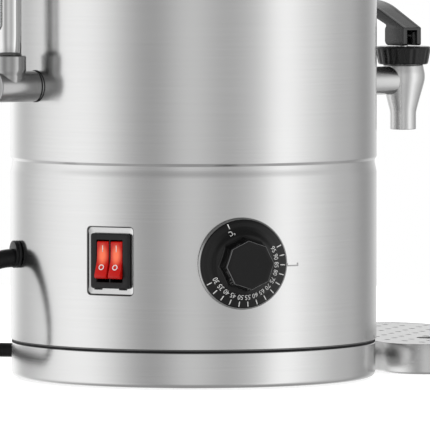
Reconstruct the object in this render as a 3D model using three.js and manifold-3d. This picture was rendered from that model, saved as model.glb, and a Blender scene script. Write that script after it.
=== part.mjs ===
// Hot water urn with a self-closing tap, a level gauge, a dial thermostat and a loose drip tray.
// Millimetres, +Z up, controls towards -Y. An azimuth is in degrees from -Y, growing towards +X.
import * as THREE from 'three'
import { mergeVertices } from 'three/addons/utils/BufferGeometryUtils.js'
import Module from 'manifold-3d'

const wasm = await Module()
wasm.setup()

// Shared clearances and facet counts
const seatGap = 0.3
const cutOverrun = 3
const weldTolerance = 0.0005
const largeSides = 40
const mediumSides = 16
const smallSides = 12
const pinSides = 8
const tubeSides = 6
const wireSides = 5
const arcSteps = 2

// Outer shell
const shellRadius = 110
const shellWall = 0.8
const shellFoot = 23
const shellTop = 424
const beadHeight = 131
const beadWidth = 9
const beadDepth = 1.5
const beadSteps = 4

// Base ring, bottom plate and pads
const padProud = 1.2
const padRadius = 7
const padCircle = 86
const padCount = 3
const padAzimuth = 60
const baseRadius = 109.4
const baseHeight = 20.8
const baseEdgeRadius = 4.5
const baseLipRadius = 0.5
const baseFlangeThickness = 1
const baseFlangeInner = 78
const baseNeckWall = 1
const baseNeckRise = 10
const plateRadius = 103
const plateThickness = 1.2
const ventCount = 6
const ventLength = 26
const ventWidth = 5
const ventCircle = 46
const bottomScrewCount = 3
const bottomScrewAzimuth = 0
const bottomScrewRadius = 1.5
const bottomScrewHeadRadius = 3
const bottomScrewHeadHeight = 0.7
const bottomScrewTip = 3

// Inner tank with its rolled rim
const tankRadius = 103
const tankWall = 0.8
const tankFloor = 157
const tankCorner = 6
const rimDrop = 6
const rimBend = 1.4

// Lid
const lidRadius = 108
const lidWall = 0.8
const lidSkirtClearance = 0.7
const lidSkirtDepth = 12
const lidRise = 27
const lidCrownSteps = 3
const lidKnobFootRadius = 12
const lidKnobWaistRadius = 8.5
const lidKnobRadius = 21
const lidKnobHeight = 30
const lidKnobRimHeight = 9
const lidScrewRadius = 2.5
const lidScrewHeadRadius = 5
const lidScrewHeadHeight = 2.5
const lidScrewLength = 16
const steamHoleRadius = 2.2
const steamHoleCircle = 82

// Heater under the tank
const heatPlateRadius = 84
const heatPlateThickness = 3
const elementCircle = 58
const elementTubeRadius = 3.6
const elementSweep = 316
const elementStepAngle = 14
const elementLegLength = 18
const elementBend = 9
const cutoutRadius = 8
const cutoutHeight = 9
const cutoutBladeWidth = 6.3
const cutoutBladeLength = 8
const cutoutBladeThickness = 0.8
const cutoutBladeSpacing = 8

// Thermostat with its dial
const dialAzimuth = 15
const dialHeight = 73.5
const dialRadius = 27
const dialRimThickness = 1.2
const dialClearance = 0.8
const dialShoulderRadius = 17.4
const dialShoulderHeight = 5.4
const gripFootRadius = 15.9
const gripFootHeight = 6.2
const gripTopRadius = 13.6
const gripHeight = 18
const gripEdge = 0.7
const gripFlankHollow = 0.5
const gripCorners = 8
const gripTurn = 3
const gripSteps = 4
const dialWall = 1.6
const dialBossRadius = 6.5
const dialCavityDepth = 14
const shaftRadius = 3
const shaftFlat = 1
const shaftReach = 12
const thermostatWidth = 40
const thermostatHeight = 44
const thermostatDepth = 26
const thermostatCorner = 4
const thermostatSetback = 9.5
const bushRadius = 4.6
const bushLength = 6.4
const bushNutAcross = 13
const bushNutHeight = 2.6
const bracketWidth = 60
const bracketHeight = 26
const bracketThickness = 1.2
const bulbRadius = 3
const bulbLength = 60
const bulbOffset = 24
const capillaryRadius = 1
const capillaryBend = 12
const capillaryDrop = 30

// Rocker switches
const switchAzimuth = -26.7
const switchHeight = 74.5
const pocketWidth = 29.7
const pocketHeight = 39.6
const pocketCorner = 2
const pocketFloor = 107.6
const bezelWidth = 26.2
const bezelHeight = 32.4
const bezelThickness = 2.2
const bezelCorner = 1.5
const bezelRise = 1.1
const switchBodyWidth = 21.6
const switchBodyHeight = 27.6
const switchBodyDepth = 24
const rockerWidth = 7.7
const rockerLength = 22.3
const rockerSpacing = 9
const rockerCrown = 1.7
const rockerDip = 1.5
const rockerPivotDepth = 3.2
const rockerHubRadius = 4.6
const rockerSkirt = 2.6
const rockerTilt = 11
const rockerWellDepth = 10
const rockerPinRadius = 1.1
const rockerPinStub = 0.5
const switchBladeWidth = 4.8
const switchBladeThickness = 0.8
const switchBladeLength = 8

// Cord gland
const glandAzimuth = -71.5
const glandHeight = 75
const glandRadius = 8.2
const glandFlangeThickness = 1.4
const glandStemRadius = 6.4
const glandStemLength = 10
const glandCapThickness = 1.6
const reliefRadius = 5.6
const reliefTipRadius = 4.9
const reliefBore = 3
const reliefDrop = 2.2
const reliefLength = 26
const reliefSlope = 45
const reliefSteps = 4
const glandNutAcross = 19
const glandNutHeight = 3.5

// Mains lead, its coil and its plug
const cordRadius = 4.4
const cordSides = 8
const cordStepLength = 22
const coilCentre = [-26, 192]
const coilInnerRadius = 37
const coilPitch = 9.6
const coilTurns = 4.25
const quarterTurnShare = 0.25
const coilStepsPerTurn = 24
const coilSides = 6
const plugBodyRadius = 18.5
const plugBodyLength = 36
const plugNeckRadius = 8
const plugReliefLength = 22
const plugReliefRadius = 5.8
const plugPinRadius = 2.4
const plugPinLength = 19
const plugPinSpacing = 19
const cornerSteps = 4

// Tap
const tapAzimuth = 130
const tapReach = 168.3
const tapPipeHeight = 174
const tapPipeRadius = 8.7
const tapPipeBore = 5
const tapFlangeRadius = 13
const tapFlangeThickness = 2.5
const tapGasketThickness = 1.5
const tapStudRadius = 8
const tapStudEnd = 94
const tapHoleClearance = 0.4
const tapNutAcross = 21
const tapNutHeight = 5
const spoutLength = 10.8
const spoutRadius = 8
const spoutBore = 5.6
const tapConeHeight = 9.3
const tapConeDrop = 10.2
const tapConeRadius = 10.5
const tapBellyRise = 1.7
const tapBellyRadius = 13.9
const tapNeckClearance = 0.8
const tapNeckRadius = 12.3
const tapThreadRadius = 11.6
const tapThreadRise = 5.2
const chamberRadius = 9.8
const valveSeatDrop = 7
const collarHeight = 11
const collarFootRadius = 15.25
const collarTopRadius = 16.9
const collarFluteDepth = 0.7
const collarFlutes = 18
const collarFluteSteps = 2
const collarRoof = 4.6
const stemRadius = 3
const stemShoulderRadius = 6.4
const stemShoulderHeight = 1.5
const cupRadius = 7.6
const cupHeight = 4
const cupBore = 2.4
const springWire = 0.6
const springRadius = 6.6
const springTurns = 5
const springSteps = 8
const springSides = 4
const leverPinRise = 5.8
const leverPinRadius = 1.5
const leverWidth = 14.8
const leverEndFace = 8.5
const leverArmFace = 8.2
const leverHeadRise = 5.1
const leverCamRadius = 3
const leverArmThickness = 6
const leverArmLength = 55
const leverArmRise = 20
const leverArmFootShare = 0.7
const leverSlotWidth = 8
const leverSlotEnd = 6.5

// Level gauge
const gaugeAzimuth = -58.5
const gaugeLow = 176
const gaugeHigh = 396
const gaugePipeRadius = 9.2
const gaugeEnd = 137.5
const gaugeReach = 128
const gaugeSocketRadius = 10.3
const gaugeSocketRise = 18.4
const gaugeWaterBore = 3.5
const gaugeGasketRadius = 9.6
const gaugeGasketThickness = 1.2
const gaugeStudRadius = 6
const gaugeStudEnd = 94.5
const gaugeNutAcross = 19
const gaugeNutHeight = 4.5
const guardRadius = 7.8
const guardWall = 0.8
const guardEngagement = 9
const guardSlotWidth = 8
const guardSlotLow = 209
const glassRadius = 6
const glassWall = 1.2
const glassSides = 16
const sealHeight = 6

// Side handles
const handleAzimuths = [40, -140]
const handleHeight = 386
const handleSpan = 86
const handleReach = 34
const handleBend = 14
const handleThickness = 12
const handleDepth = 16
const handleFootRadius = 10
const handleFootThickness = 3
const handleScrewRadius = 2.5
const handleNutRadius = 4
const handleNutHeight = 1.2

// Drip tray and grille
const trayAzimuth = 132
const trayInner = 122
const trayOuter = 247
const trayHalfWidth = 87
const trayCorner = 27
const trayHeight = 18.5
const trayWall = 1.2
const trayEdgeRadius = 2
const grilleThickness = 1
const grilleRecess = 0.3
const grilleHoleRadius = 2
const grilleHoleSides = 4
const grillePitch = 15.4
const grilleMargin = 9
const grilleFootRadius = 3
const grilleFootInset = 24
const fingerHoleRadius = 9
const fingerHoleReach = 163
const fingerHoleOffset = 36.5

// Wiring
const wireRadius = 2.2
const wireSteps = 10
const loomBend = 22
const thermostatWireOffset = 9
const terminalLength = 34
const terminalWidth = 18
const terminalHeight = 15
const terminalCentre = [-44, -30]
const terminalCellCount = 3
const terminalCellRadius = 3.2
const terminalCellDepth = 8

// Finishes
const finishes = {
  brushed: [0xc9c9c7, 0.34, 1],
  polished: [0xd6d6d6, 0.14, 1],
  satin: [0xa8a8a6, 0.3, 1],
  dark: [0x1a1a1b, 0.35, 0],
  gloss: [0x0c0c0d, 0.16, 0],
  red: [0xd8180e, 0.2, 0],
  rubber: [0x17171a, 0.75, 0],
  cable: [0x0e0e10, 0.6, 0],
  glass: [0xdfe8e8, 0.05, 0],
  silicone: [0xe6e2d8, 0.6, 0],
  aluminium: [0xb5b6b8, 0.45, 1],
  copper: [0xb8734a, 0.4, 1],
  bakelite: [0xe4dfd2, 0.5, 0]
}
const materials = {}
for (const [name, [color, roughness, metalness]] of Object.entries(finishes)) {
  materials[name] = new THREE.MeshStandardMaterial({ name, color, roughness, metalness })
}
materials.glass.transparent = true
materials.glass.opacity = 0.35

const radians = THREE.MathUtils.degToRad

// Only the positions, welded, without faces that have shrunk to a line.
function welded(geometry) {
  const loose = geometry.index ? geometry.toNonIndexed() : geometry
  const bare = new THREE.BufferGeometry().setAttribute('position', loose.getAttribute('position'))
  const merged = mergeVertices(bare, weldTolerance)
  const corners = merged.index.array
  const kept = []
  for (let i = 0; i < corners.length; i += 3) {
    const [a, b, c] = [corners[i], corners[i + 1], corners[i + 2]]
    if (a !== b && b !== c && c !== a) kept.push(a, b, c)
  }
  return merged.setIndex(kept)
}

function solidOf(geometry) {
  const merged = welded(geometry)
  const vertProperties = new Float32Array(merged.attributes.position.array)
  const triVerts = new Uint32Array(merged.index.array)
  return new wasm.Manifold(new wasm.Mesh({ numProp: 3, vertProperties, triVerts }))
}

function geometryOf(solid) {
  const mesh = solid.getMesh()
  const geometry = new THREE.BufferGeometry()
  geometry.setAttribute('position', new THREE.BufferAttribute(new Float32Array(mesh.vertProperties), 3))
  geometry.setIndex(new THREE.BufferAttribute(new Uint32Array(mesh.triVerts), 1))
  return geometry
}

function joined(first, ...others) {
  let solid = solidOf(first)
  for (const other of others) solid = solid.add(solidOf(other))
  return geometryOf(solid)
}

function cut(first, ...tools) {
  let solid = solidOf(first)
  for (const tool of tools) solid = solid.subtract(solidOf(tool))
  return geometryOf(solid)
}

function common(first, second) {
  return geometryOf(solidOf(first).intersect(solidOf(second)))
}

// A profile of [radius, height] points turned about +Z: up its outside, down its inside.
function turned(profile, sides) {
  const points = profile.map(([radius, height]) => new THREE.Vector2(radius, height))
  points.push(points[0])
  return welded(new THREE.LatheGeometry(points, sides).rotateX(Math.PI / 2))
}

function disc(radius, low, high, sides) {
  return turned([[0, low], [radius, low], [radius, high], [0, high]], sides)
}

function ring(outer, inner, low, high, sides) {
  return turned([[outer, low], [outer, high], [inner, high], [inner, low]], sides)
}

function block(width, depth, low, high) {
  return new THREE.BoxGeometry(width, depth, high - low).translate(0, 0, (low + high) / 2)
}

function prism(shape, low, high, curveSegments = arcSteps) {
  const options = { depth: high - low, bevelEnabled: false, curveSegments }
  return new THREE.ExtrudeGeometry(shape, options).translate(0, 0, low)
}

function roundedRectangle(width, height, corner) {
  const [x, y] = [width / 2 - corner, height / 2 - corner]
  return new THREE.Shape()
    .absarc(x, -y, corner, -Math.PI / 2, 0, false)
    .absarc(x, y, corner, 0, Math.PI / 2, false)
    .absarc(-x, y, corner, Math.PI / 2, Math.PI, false)
    .absarc(-x, -y, corner, Math.PI, Math.PI * 1.5, false)
}

function polygon(points) {
  return new THREE.Shape(points.map(([x, y]) => new THREE.Vector2(x, y)))
}

function hexagonNut(across, bore, low, high) {
  const outer = disc(across / Math.sqrt(3), low, high, 6)
  return cut(outer, disc(bore, low - cutOverrun, high + cutOverrun, smallSides))
}

// Points on an arc, from one angle to another in degrees, both ends kept.
function arcPoints(centreX, centreY, radius, from, to, steps = arcSteps) {
  const points = []
  for (let i = 0; i <= steps; i++) {
    const angle = radians(from + (to - from) * i / steps)
    points.push([centreX + radius * Math.cos(angle), centreY + radius * Math.sin(angle)])
  }
  return points
}

// A closed skin over rings of equally many points. Flat ends that bend inwards are cut into ears.
function lofted(rings, earCaps = false) {
  const count = rings[0].length
  const points = rings.flat()
  const faces = []
  for (let i = 0; i + 1 < rings.length; i++) {
    for (let j = 0; j < count; j++) {
      const [a, b] = [i * count + j, i * count + (j + 1) % count]
      faces.push(a, b, a + count, b, b + count, a + count)
    }
  }
  for (const [start, isTop] of [[0, false], [points.length - count, true]]) {
    const end = points.slice(start, start + count)
    if (earCaps) {
      const flat = end.map(p => new THREE.Vector2(p.x, p.y))
      for (const [a, b, c] of THREE.ShapeUtils.triangulateShape(flat, [])) {
        faces.push(start + a, start + (isTop ? b : c), start + (isTop ? c : b))
      }
    } else {
      const middle = end.reduce((sum, p) => sum.add(p), new THREE.Vector3()).divideScalar(count)
      points.push(middle)
      for (let j = 0; j < count; j++) {
        const [a, b] = [start + j, start + (j + 1) % count]
        faces.push(points.length - 1, isTop ? a : b, isTop ? b : a)
      }
    }
  }
  return welded(new THREE.BufferGeometry().setFromPoints(points).setIndex(faces))
}

// A section, given as [side, up] points for each station, carried along points of a path.
function sweptSection(path, sectionAt, startUp = new THREE.Vector3(0, 0, 1)) {
  const up = startUp.clone()
  const rings = path.map((point, i) => {
    const ahead = path[Math.min(i + 1, path.length - 1)].clone()
    const forward = ahead.sub(path[Math.max(i - 1, 0)]).normalize()
    up.addScaledVector(forward, -up.dot(forward)).normalize()
    const side = new THREE.Vector3().crossVectors(up, forward)
    return sectionAt(i).map(([s, u]) => point.clone().addScaledVector(side, s).addScaledVector(up, u))
  })
  return lofted(rings)
}

function roundSection(radius, sides, turn = 0) {
  return arcPoints(0, 0, radius, turn, turn + 360, sides).slice(0, sides)
}

function swept(path, radius, sides, startUp) {
  return sweptSection(path, () => roundSection(radius, sides), startUp)
}

function smoothPath(points, steps) {
  return new THREE.CatmullRomCurve3(points, false, 'centripetal').getSpacedPoints(steps)
}

// A place on the shell: +X to the right as seen from outside, +Y up and +Z away from the axis.
function stationMatrix(azimuth, height) {
  const turn = radians(azimuth)
  const right = new THREE.Vector3(Math.cos(turn), Math.sin(turn), 0)
  const out = new THREE.Vector3(Math.sin(turn), -Math.cos(turn), 0)
  return new THREE.Matrix4().makeBasis(right, new THREE.Vector3(0, 0, 1), out).setPosition(0, 0, height)
}

function stationGroup(azimuth, height) {
  const group = new THREE.Group()
  group.applyMatrix4(stationMatrix(azimuth, height))
  return group
}

function atStation(geometry, azimuth, height) {
  return geometry.clone().applyMatrix4(stationMatrix(azimuth, height))
}

// Turns a piece made about +Z to stand about a station's own +Y.
function upright(geometry) {
  return geometry.rotateX(-Math.PI / 2)
}

function add(group, name, geometry, material) {
  const mesh = new THREE.Mesh(geometry, material)
  mesh.name = name
  group.add(mesh)
}

const model = new THREE.Group()
const urn = new THREE.Group()
urn.position.z = padProud
model.add(urn)

const shellInside = shellRadius - shellWall
const tankOutside = tankRadius + tankWall
const rimTop = shellTop + seatGap + tankWall
// How far from the axis a flat face may stand inside a wall, by half its width and the wall's facets.
const facetShare = Math.cos(Math.PI / largeSides)
const insideAt = (radius, half) => Math.sqrt((radius * facetShare) ** 2 - half ** 2)
const shellInsideAt = half => insideAt(shellInside, half)
const tankInsideAt = half => insideAt(tankRadius, half)

// Outer shell: a rolled sheet with one bead pressed in all round, a flat switch pocket and its holes.
function shellProfile() {
  const bead = []
  for (let i = 0; i <= beadSteps; i++) {
    const along = 2 * i / beadSteps - 1
    const dip = beadDepth * (1 + Math.cos(Math.PI * along)) / 2
    bead.push([-dip, beadHeight + along * beadWidth / 2])
  }
  const edge = [[0, shellFoot], ...bead, [0, shellTop]]
  const outside = edge.map(([dip, height]) => [shellRadius + dip, height])
  const inside = edge.map(([dip, height]) => [shellInside + dip, height])
  return [...outside, ...inside.reverse()]
}

function shellHole(radius, azimuth, height, sides = smallSides) {
  return atStation(disc(radius, tankRadius / 2, shellRadius + cutOverrun, sides), azimuth, height)
}

function outerShell() {
  const pan = roundedRectangle(
    pocketWidth + 2 * shellWall, pocketHeight + 2 * shellWall, pocketCorner + shellWall
  )
  const hollow = roundedRectangle(pocketWidth, pocketHeight, pocketCorner)
  const window = block(
    switchBodyWidth + 2 * seatGap, switchBodyHeight + 2 * seatGap, pocketFloor - cutOverrun, shellRadius
  )
  const panSolid = atStation(prism(pan, pocketFloor - shellWall, shellRadius), switchAzimuth, switchHeight)
  const trimmed = common(panSolid, disc(shellRadius, shellFoot, beadHeight - beadWidth, largeSides))
  return cut(
    joined(turned(shellProfile(), largeSides), trimmed),
    atStation(prism(hollow, pocketFloor, shellRadius + cutOverrun), switchAzimuth, switchHeight),
    atStation(window, switchAzimuth, switchHeight),
    shellHole(shaftRadius + 2 * seatGap, dialAzimuth, dialHeight),
    shellHole(glandStemRadius + seatGap, glandAzimuth, glandHeight),
    shellHole(tapStudRadius + tapHoleClearance, tapAzimuth, tapPipeHeight, mediumSides),
    shellHole(gaugeStudRadius + seatGap, gaugeAzimuth, gaugeLow),
    shellHole(gaugeStudRadius + seatGap, gaugeAzimuth, gaugeHigh),
    ...handleAzimuths.flatMap(azimuth => [-1, 1].map(side => {
      const hole = disc(handleScrewRadius + seatGap, tankRadius / 2, shellRadius + cutOverrun, pinSides)
      return atStation(hole.translate(side * handleSpan / 2, 0, 0), azimuth, handleHeight)
    }))
  )
}
add(urn, 'outer_shell', outerShell(), materials.brushed)

// Base ring: a rounded rim, a flange that carries the pads, and a neck that enters the shell.
const neckRadius = shellInside - seatGap
const neckInside = neckRadius - baseNeckWall
const baseEdgeCentre = baseRadius - baseEdgeRadius

function baseRing() {
  const insideEdge = neckInside - baseEdgeCentre
  const profile = [
    [baseFlangeInner, 0],
    ...arcPoints(baseEdgeCentre, baseEdgeRadius, baseEdgeRadius, -90, 0),
    ...arcPoints(baseRadius - baseLipRadius, baseHeight - baseLipRadius, baseLipRadius, 0, 90, 1),
    [neckRadius, shellFoot],
    [neckRadius, shellFoot + baseNeckRise],
    [neckInside, shellFoot + baseNeckRise],
    ...arcPoints(baseEdgeCentre, baseFlangeThickness + insideEdge, insideEdge, 0, -90),
    [baseFlangeInner, baseFlangeThickness]
  ]
  const screwHole = disc(bottomScrewRadius + seatGap, -cutOverrun, cutOverrun, pinSides)
  return cut(turned(profile, largeSides), ...around(bottomScrewCount, padCircle, bottomScrewAzimuth)
    .map(([x, y]) => screwHole.clone().translate(x, y, 0)))
}

// Places evenly spaced on a circle, the first at the azimuth given.
function around(count, circle, azimuth) {
  return Array.from({ length: count }, (_, i) => {
    const angle = radians(azimuth + 360 * i / count)
    return [circle * Math.sin(angle), -circle * Math.cos(angle), angle]
  })
}
add(urn, 'base_ring', baseRing(), materials.brushed)

const plateLow = baseFlangeThickness + seatGap
const plateHigh = plateLow + plateThickness

function bottomPlate() {
  const outline = new THREE.Shape().absarc(0, 0, plateRadius, 0, Math.PI * 2, false)
  for (const [x, y, angle] of around(ventCount, ventCircle, 0)) {
    const slot = arcPoints(0, ventLength / 2 - ventWidth / 2, ventWidth / 2, 0, 180)
      .concat(arcPoints(0, ventWidth / 2 - ventLength / 2, ventWidth / 2, 180, 360))
    const turn = ([u, v]) => new THREE.Vector2(
      x + u * Math.cos(angle) - v * Math.sin(angle), y + u * Math.sin(angle) + v * Math.cos(angle)
    )
    outline.holes.push(new THREE.Path(slot.map(turn)))
  }
  const bore = disc(bottomScrewRadius + seatGap, plateLow - cutOverrun, plateHigh + cutOverrun, pinSides)
  return cut(prism(outline, plateLow, plateHigh, mediumSides),
    ...around(bottomScrewCount, padCircle, bottomScrewAzimuth)
      .map(([x, y]) => bore.clone().translate(x, y, 0)))
}
add(urn, 'bottom_plate', bottomPlate(), materials.satin)

around(padCount, padCircle, padAzimuth).forEach(([x, y], i) => {
  const pad = turned([
    [0, -padProud], [padRadius - padProud / 2, -padProud], [padRadius, -padProud / 2],
    [padRadius, -seatGap], [0, -seatGap]
  ], smallSides)
  add(urn, `foot_pad_${i + 1}`, pad.translate(x, y, 0), materials.rubber)
})

around(bottomScrewCount, padCircle, bottomScrewAzimuth).forEach(([x, y], i) => {
  const headTop = -seatGap
  const screw = turned([
    [0, headTop - bottomScrewHeadHeight], [bottomScrewHeadRadius / 2, headTop - bottomScrewHeadHeight],
    [bottomScrewHeadRadius, headTop], [bottomScrewRadius, headTop],
    [bottomScrewRadius, plateHigh + bottomScrewTip], [0, plateHigh + bottomScrewTip]
  ], pinSides)
  add(urn, `bottom_screw_${i + 1}`, screw.translate(x, y, 0), materials.satin)
})

// Inner tank: a drawn cup whose rim rolls out over the shell's top edge.
function innerTank() {
  const outerBend = rimBend + tankWall
  const rollInside = shellRadius + seatGap
  const profile = [
    [0, tankFloor - tankWall],
    ...arcPoints(tankOutside - tankCorner, tankFloor - tankWall + tankCorner, tankCorner, -90, 0),
    [tankOutside, shellTop + seatGap],
    [rollInside, shellTop + seatGap],
    [rollInside, shellTop - rimDrop],
    [rollInside + tankWall, shellTop - rimDrop],
    ...arcPoints(rollInside + tankWall - outerBend / 2, rimTop - outerBend / 2, outerBend / 2, 0, 90, 2),
    ...arcPoints(tankRadius + outerBend, rimTop - outerBend, outerBend, 90, 180, 2),
    ...arcPoints(tankRadius - tankCorner, tankFloor + tankCorner, tankCorner, 0, -90),
    [0, tankFloor]
  ]
  return cut(
    turned(profile, largeSides),
    shellHole(tapStudRadius + tapHoleClearance, tapAzimuth, tapPipeHeight, mediumSides),
    shellHole(gaugeStudRadius + seatGap, gaugeAzimuth, gaugeLow),
    shellHole(gaugeStudRadius + seatGap, gaugeAzimuth, gaugeHigh)
  )
}
add(urn, 'inner_tank', innerTank(), materials.brushed)

// Lid: a shallow dome with a skirt inside the tank's mouth, its knob and the screw between them.
const lidFoot = rimTop + seatGap
const skirtRadius = tankRadius - lidSkirtClearance
const crownRadius = (skirtRadius ** 2 + lidRise ** 2) / (2 * lidRise)
const crownCentre = lidFoot + lidWall + lidRise - crownRadius
const knobSpotRadius = lidKnobFootRadius + 2 * lidWall
const lidCrown = crownCentre + Math.sqrt(crownRadius ** 2 - knobSpotRadius ** 2)

function lid() {
  const angleAt = radius => THREE.MathUtils.radToDeg(Math.acos(radius / crownRadius))
  const crown = radius => arcPoints(
    0, crownCentre, radius, angleAt(skirtRadius), angleAt(knobSpotRadius), lidCrownSteps
  )
  const profile = [
    [skirtRadius - lidWall, lidFoot - lidSkirtDepth],
    [skirtRadius, lidFoot - lidSkirtDepth],
    [skirtRadius, lidFoot],
    [lidRadius, lidFoot],
    [lidRadius, lidFoot + lidWall],
    ...crown(crownRadius),
    [0, lidCrown],
    [0, lidCrown - lidWall],
    ...crown(crownRadius - lidWall).reverse(),
    [skirtRadius - lidWall, lidFoot]
  ]
  const through = radius => disc(radius, lidFoot - cutOverrun, lidCrown + cutOverrun, pinSides)
  return cut(
    turned(profile, largeSides), through(lidScrewRadius + seatGap),
    through(steamHoleRadius).translate(steamHoleCircle, 0, 0)
  )
}
add(urn, 'lid', lid(), materials.brushed)

const knobFoot = lidCrown + seatGap
const knobTop = knobFoot + lidKnobHeight
const knobBrow = knobTop - lidKnobRimHeight
const lidScrewTip = lidCrown - lidWall - seatGap + lidScrewLength

function lidKnob() {
  const dome = lidKnobRimHeight * 2 / 3
  const profile = [
    [0, knobFoot],
    [lidKnobFootRadius, knobFoot],
    [lidKnobFootRadius, knobFoot + lidKnobRimHeight / 3],
    [lidKnobWaistRadius, knobFoot + lidKnobRimHeight],
    [lidKnobWaistRadius, knobBrow - lidKnobRimHeight / 3],
    [lidKnobRadius, knobBrow],
    [lidKnobRadius, knobTop - dome],
    [lidKnobRadius - dome / 2, knobTop - dome / 3],
    [0, knobTop]
  ]
  const bore = disc(lidScrewRadius + seatGap, knobFoot - cutOverrun, lidScrewTip + seatGap, pinSides)
  return cut(turned(profile, mediumSides), bore)
}
add(urn, 'lid_knob', lidKnob(), materials.gloss)

function lidKnobScrew() {
  const head = lidCrown - lidWall - seatGap
  return turned([
    [0, head - lidScrewHeadHeight], [lidScrewHeadRadius / 2, head - lidScrewHeadHeight],
    [lidScrewHeadRadius, head], [lidScrewRadius, head], [lidScrewRadius, lidScrewTip], [0, lidScrewTip]
  ], pinSides)
}
add(urn, 'lid_knob_screw', lidKnobScrew(), materials.polished)

// Heater: a spreader plate under the tank, the tubular element brazed to it and the overheat cut-out.
const heatPlateTop = tankFloor - tankWall - seatGap
const heatPlateLow = heatPlateTop - heatPlateThickness
add(urn, 'heat_plate', disc(heatPlateRadius, heatPlateLow, heatPlateTop, largeSides / 2), materials.aluminium)

const elementHeight = heatPlateLow - seatGap - elementTubeRadius
const elementEndHeight = elementHeight - elementBend - elementLegLength

function elementPath() {
  const path = []
  const half = elementSweep / 2
  const place = (angle, height) => new THREE.Vector3(
    elementCircle * Math.sin(radians(angle)), -elementCircle * Math.cos(radians(angle)), height
  )
  const bendAngle = THREE.MathUtils.radToDeg(elementBend / elementCircle)
  const leg = side => {
    const points = [place(side * (half + bendAngle), elementEndHeight)]
    for (const [along, rise] of arcPoints(0, 0, 1, 0, 90).slice(0, -1)) {
      points.push(place(side * (half + bendAngle * along), elementHeight - elementBend * (1 - rise)))
    }
    return points
  }
  path.push(...leg(-1))
  const steps = Math.round(elementSweep / elementStepAngle)
  for (let i = 0; i <= steps; i++) path.push(place(-half + elementSweep * i / steps, elementHeight))
  path.push(...leg(1).reverse())
  return path
}
const elementUp = new THREE.Vector3(1, 0, 0)
add(urn, 'heating_element', swept(elementPath(), elementTubeRadius, tubeSides, elementUp), materials.satin)

function overheatCutout() {
  const top = heatPlateLow - seatGap
  const blade = side => block(
    cutoutBladeThickness, cutoutBladeWidth, top - cutoutHeight - cutoutBladeLength, top
  ).translate(side * cutoutBladeSpacing / 2, 0, 0)
  return joined(disc(cutoutRadius, top - cutoutHeight, top, smallSides), blade(-1), blade(1))
}
add(urn, 'overheat_cutout', overheatCutout(), materials.bakelite)

// Thermostat: body behind the shell, bush through its bracket, shaft to the dial, bulb under the tank.
const dialStation = stationGroup(dialAzimuth, dialHeight)
urn.add(dialStation)
const bracketFace = shellInside - thermostatSetback + bracketThickness
const thermostatFront = bracketFace - bracketThickness - seatGap
const thermostatBack = thermostatFront - thermostatDepth
const bushEnd = thermostatFront + bushLength
const dialBack = shellRadius + dialClearance
const shaftEnd = dialBack + shaftReach

const bushNutLow = bracketFace + seatGap

function thermostatBody() {
  const casing = roundedRectangle(thermostatWidth, thermostatHeight, thermostatCorner)
  const bush = disc(bushRadius, thermostatBack, bushEnd, smallSides)
  const nut = disc(bushNutAcross / Math.sqrt(3), bushNutLow, bushNutLow + bushNutHeight, 6)
  return cut(
    joined(prism(casing, thermostatBack, thermostatFront), bush, nut),
    disc(shaftRadius + seatGap, thermostatFront - thermostatDepth / 2, bushEnd + cutOverrun, smallSides)
  )
}
add(dialStation, 'thermostat_body', thermostatBody(), materials.bakelite)

function thermostatBracket() {
  const half = bracketWidth / 2
  const tip = shellInsideAt(half) - seatGap
  const back = bracketFace - bracketThickness
  const outline = polygon([
    [-half, back], [half, back], [half, tip], [half - bracketThickness, tip],
    [half - bracketThickness, bracketFace], [bracketThickness - half, bracketFace],
    [bracketThickness - half, tip], [-half, tip]
  ])
  const strap = prism(outline, -bracketHeight / 2, bracketHeight / 2).rotateX(Math.PI / 2)
  return cut(strap, disc(bushRadius + seatGap, back - cutOverrun, bracketFace + cutOverrun, smallSides))
}
add(dialStation, 'thermostat_bracket', thermostatBracket(), materials.satin)

// The shaft has a flat that drives the dial's bore.
function flattedRod(radius, low, high, flat) {
  const shave = block(2 * radius, 2 * radius, low - cutOverrun, high + cutOverrun)
  return cut(disc(radius, low, high, smallSides), shave.translate(0, 2 * radius - flat, 0))
}

function thermostatShaft() {
  const foot = thermostatFront - thermostatDepth / 2 + seatGap
  return joined(
    disc(shaftRadius, foot, bushEnd, smallSides), flattedRod(shaftRadius, bushEnd, shaftEnd, shaftFlat)
  )
}
add(dialStation, 'thermostat_shaft', thermostatShaft(), materials.satin)

// The grip's outline at one height: eight corners with flanks hollowed a little between them.
function gripRing(cornerRadius, height, roundness) {
  const samples = gripCorners * gripSteps
  return Array.from({ length: samples }, (_, i) => {
    const across = (i % gripSteps) / gripSteps * 2 - 1
    const half = Math.PI / gripCorners
    const flat = cornerRadius * Math.cos(half) / Math.cos(across * half)
    const hollow = gripFlankHollow * (1 - across * across)
    const radius = THREE.MathUtils.lerp(flat - hollow, cornerRadius, roundness)
    const angle = radians(gripTurn) + 2 * Math.PI * i / samples
    return new THREE.Vector3(radius * Math.cos(angle), radius * Math.sin(angle), dialBack + height)
  })
}

function dialKnob() {
  const outside = lofted([
    gripRing(dialRadius, 0, 1),
    gripRing(dialRadius, dialRimThickness, 1),
    gripRing(dialShoulderRadius, dialShoulderHeight, 1),
    gripRing(gripFootRadius, gripFootHeight, 0),
    gripRing(gripTopRadius, gripHeight - gripEdge, 0),
    gripRing(gripTopRadius - gripEdge, gripHeight, 0)
  ])
  const cavity = turned([
    [dialBossRadius, dialBack - cutOverrun],
    [dialRadius - dialWall, dialBack - cutOverrun],
    [dialRadius - dialWall, dialBack + dialRimThickness / 2],
    [gripFootRadius - dialWall, dialBack + dialShoulderHeight - dialWall],
    [gripTopRadius - 2 * dialWall, dialBack + dialCavityDepth],
    [dialBossRadius, dialBack + dialCavityDepth]
  ], mediumSides)
  const bore = flattedRod(shaftRadius + seatGap, dialBack - cutOverrun, shaftEnd + seatGap, shaftFlat)
  return cut(outside, cavity, bore)
}
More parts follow.
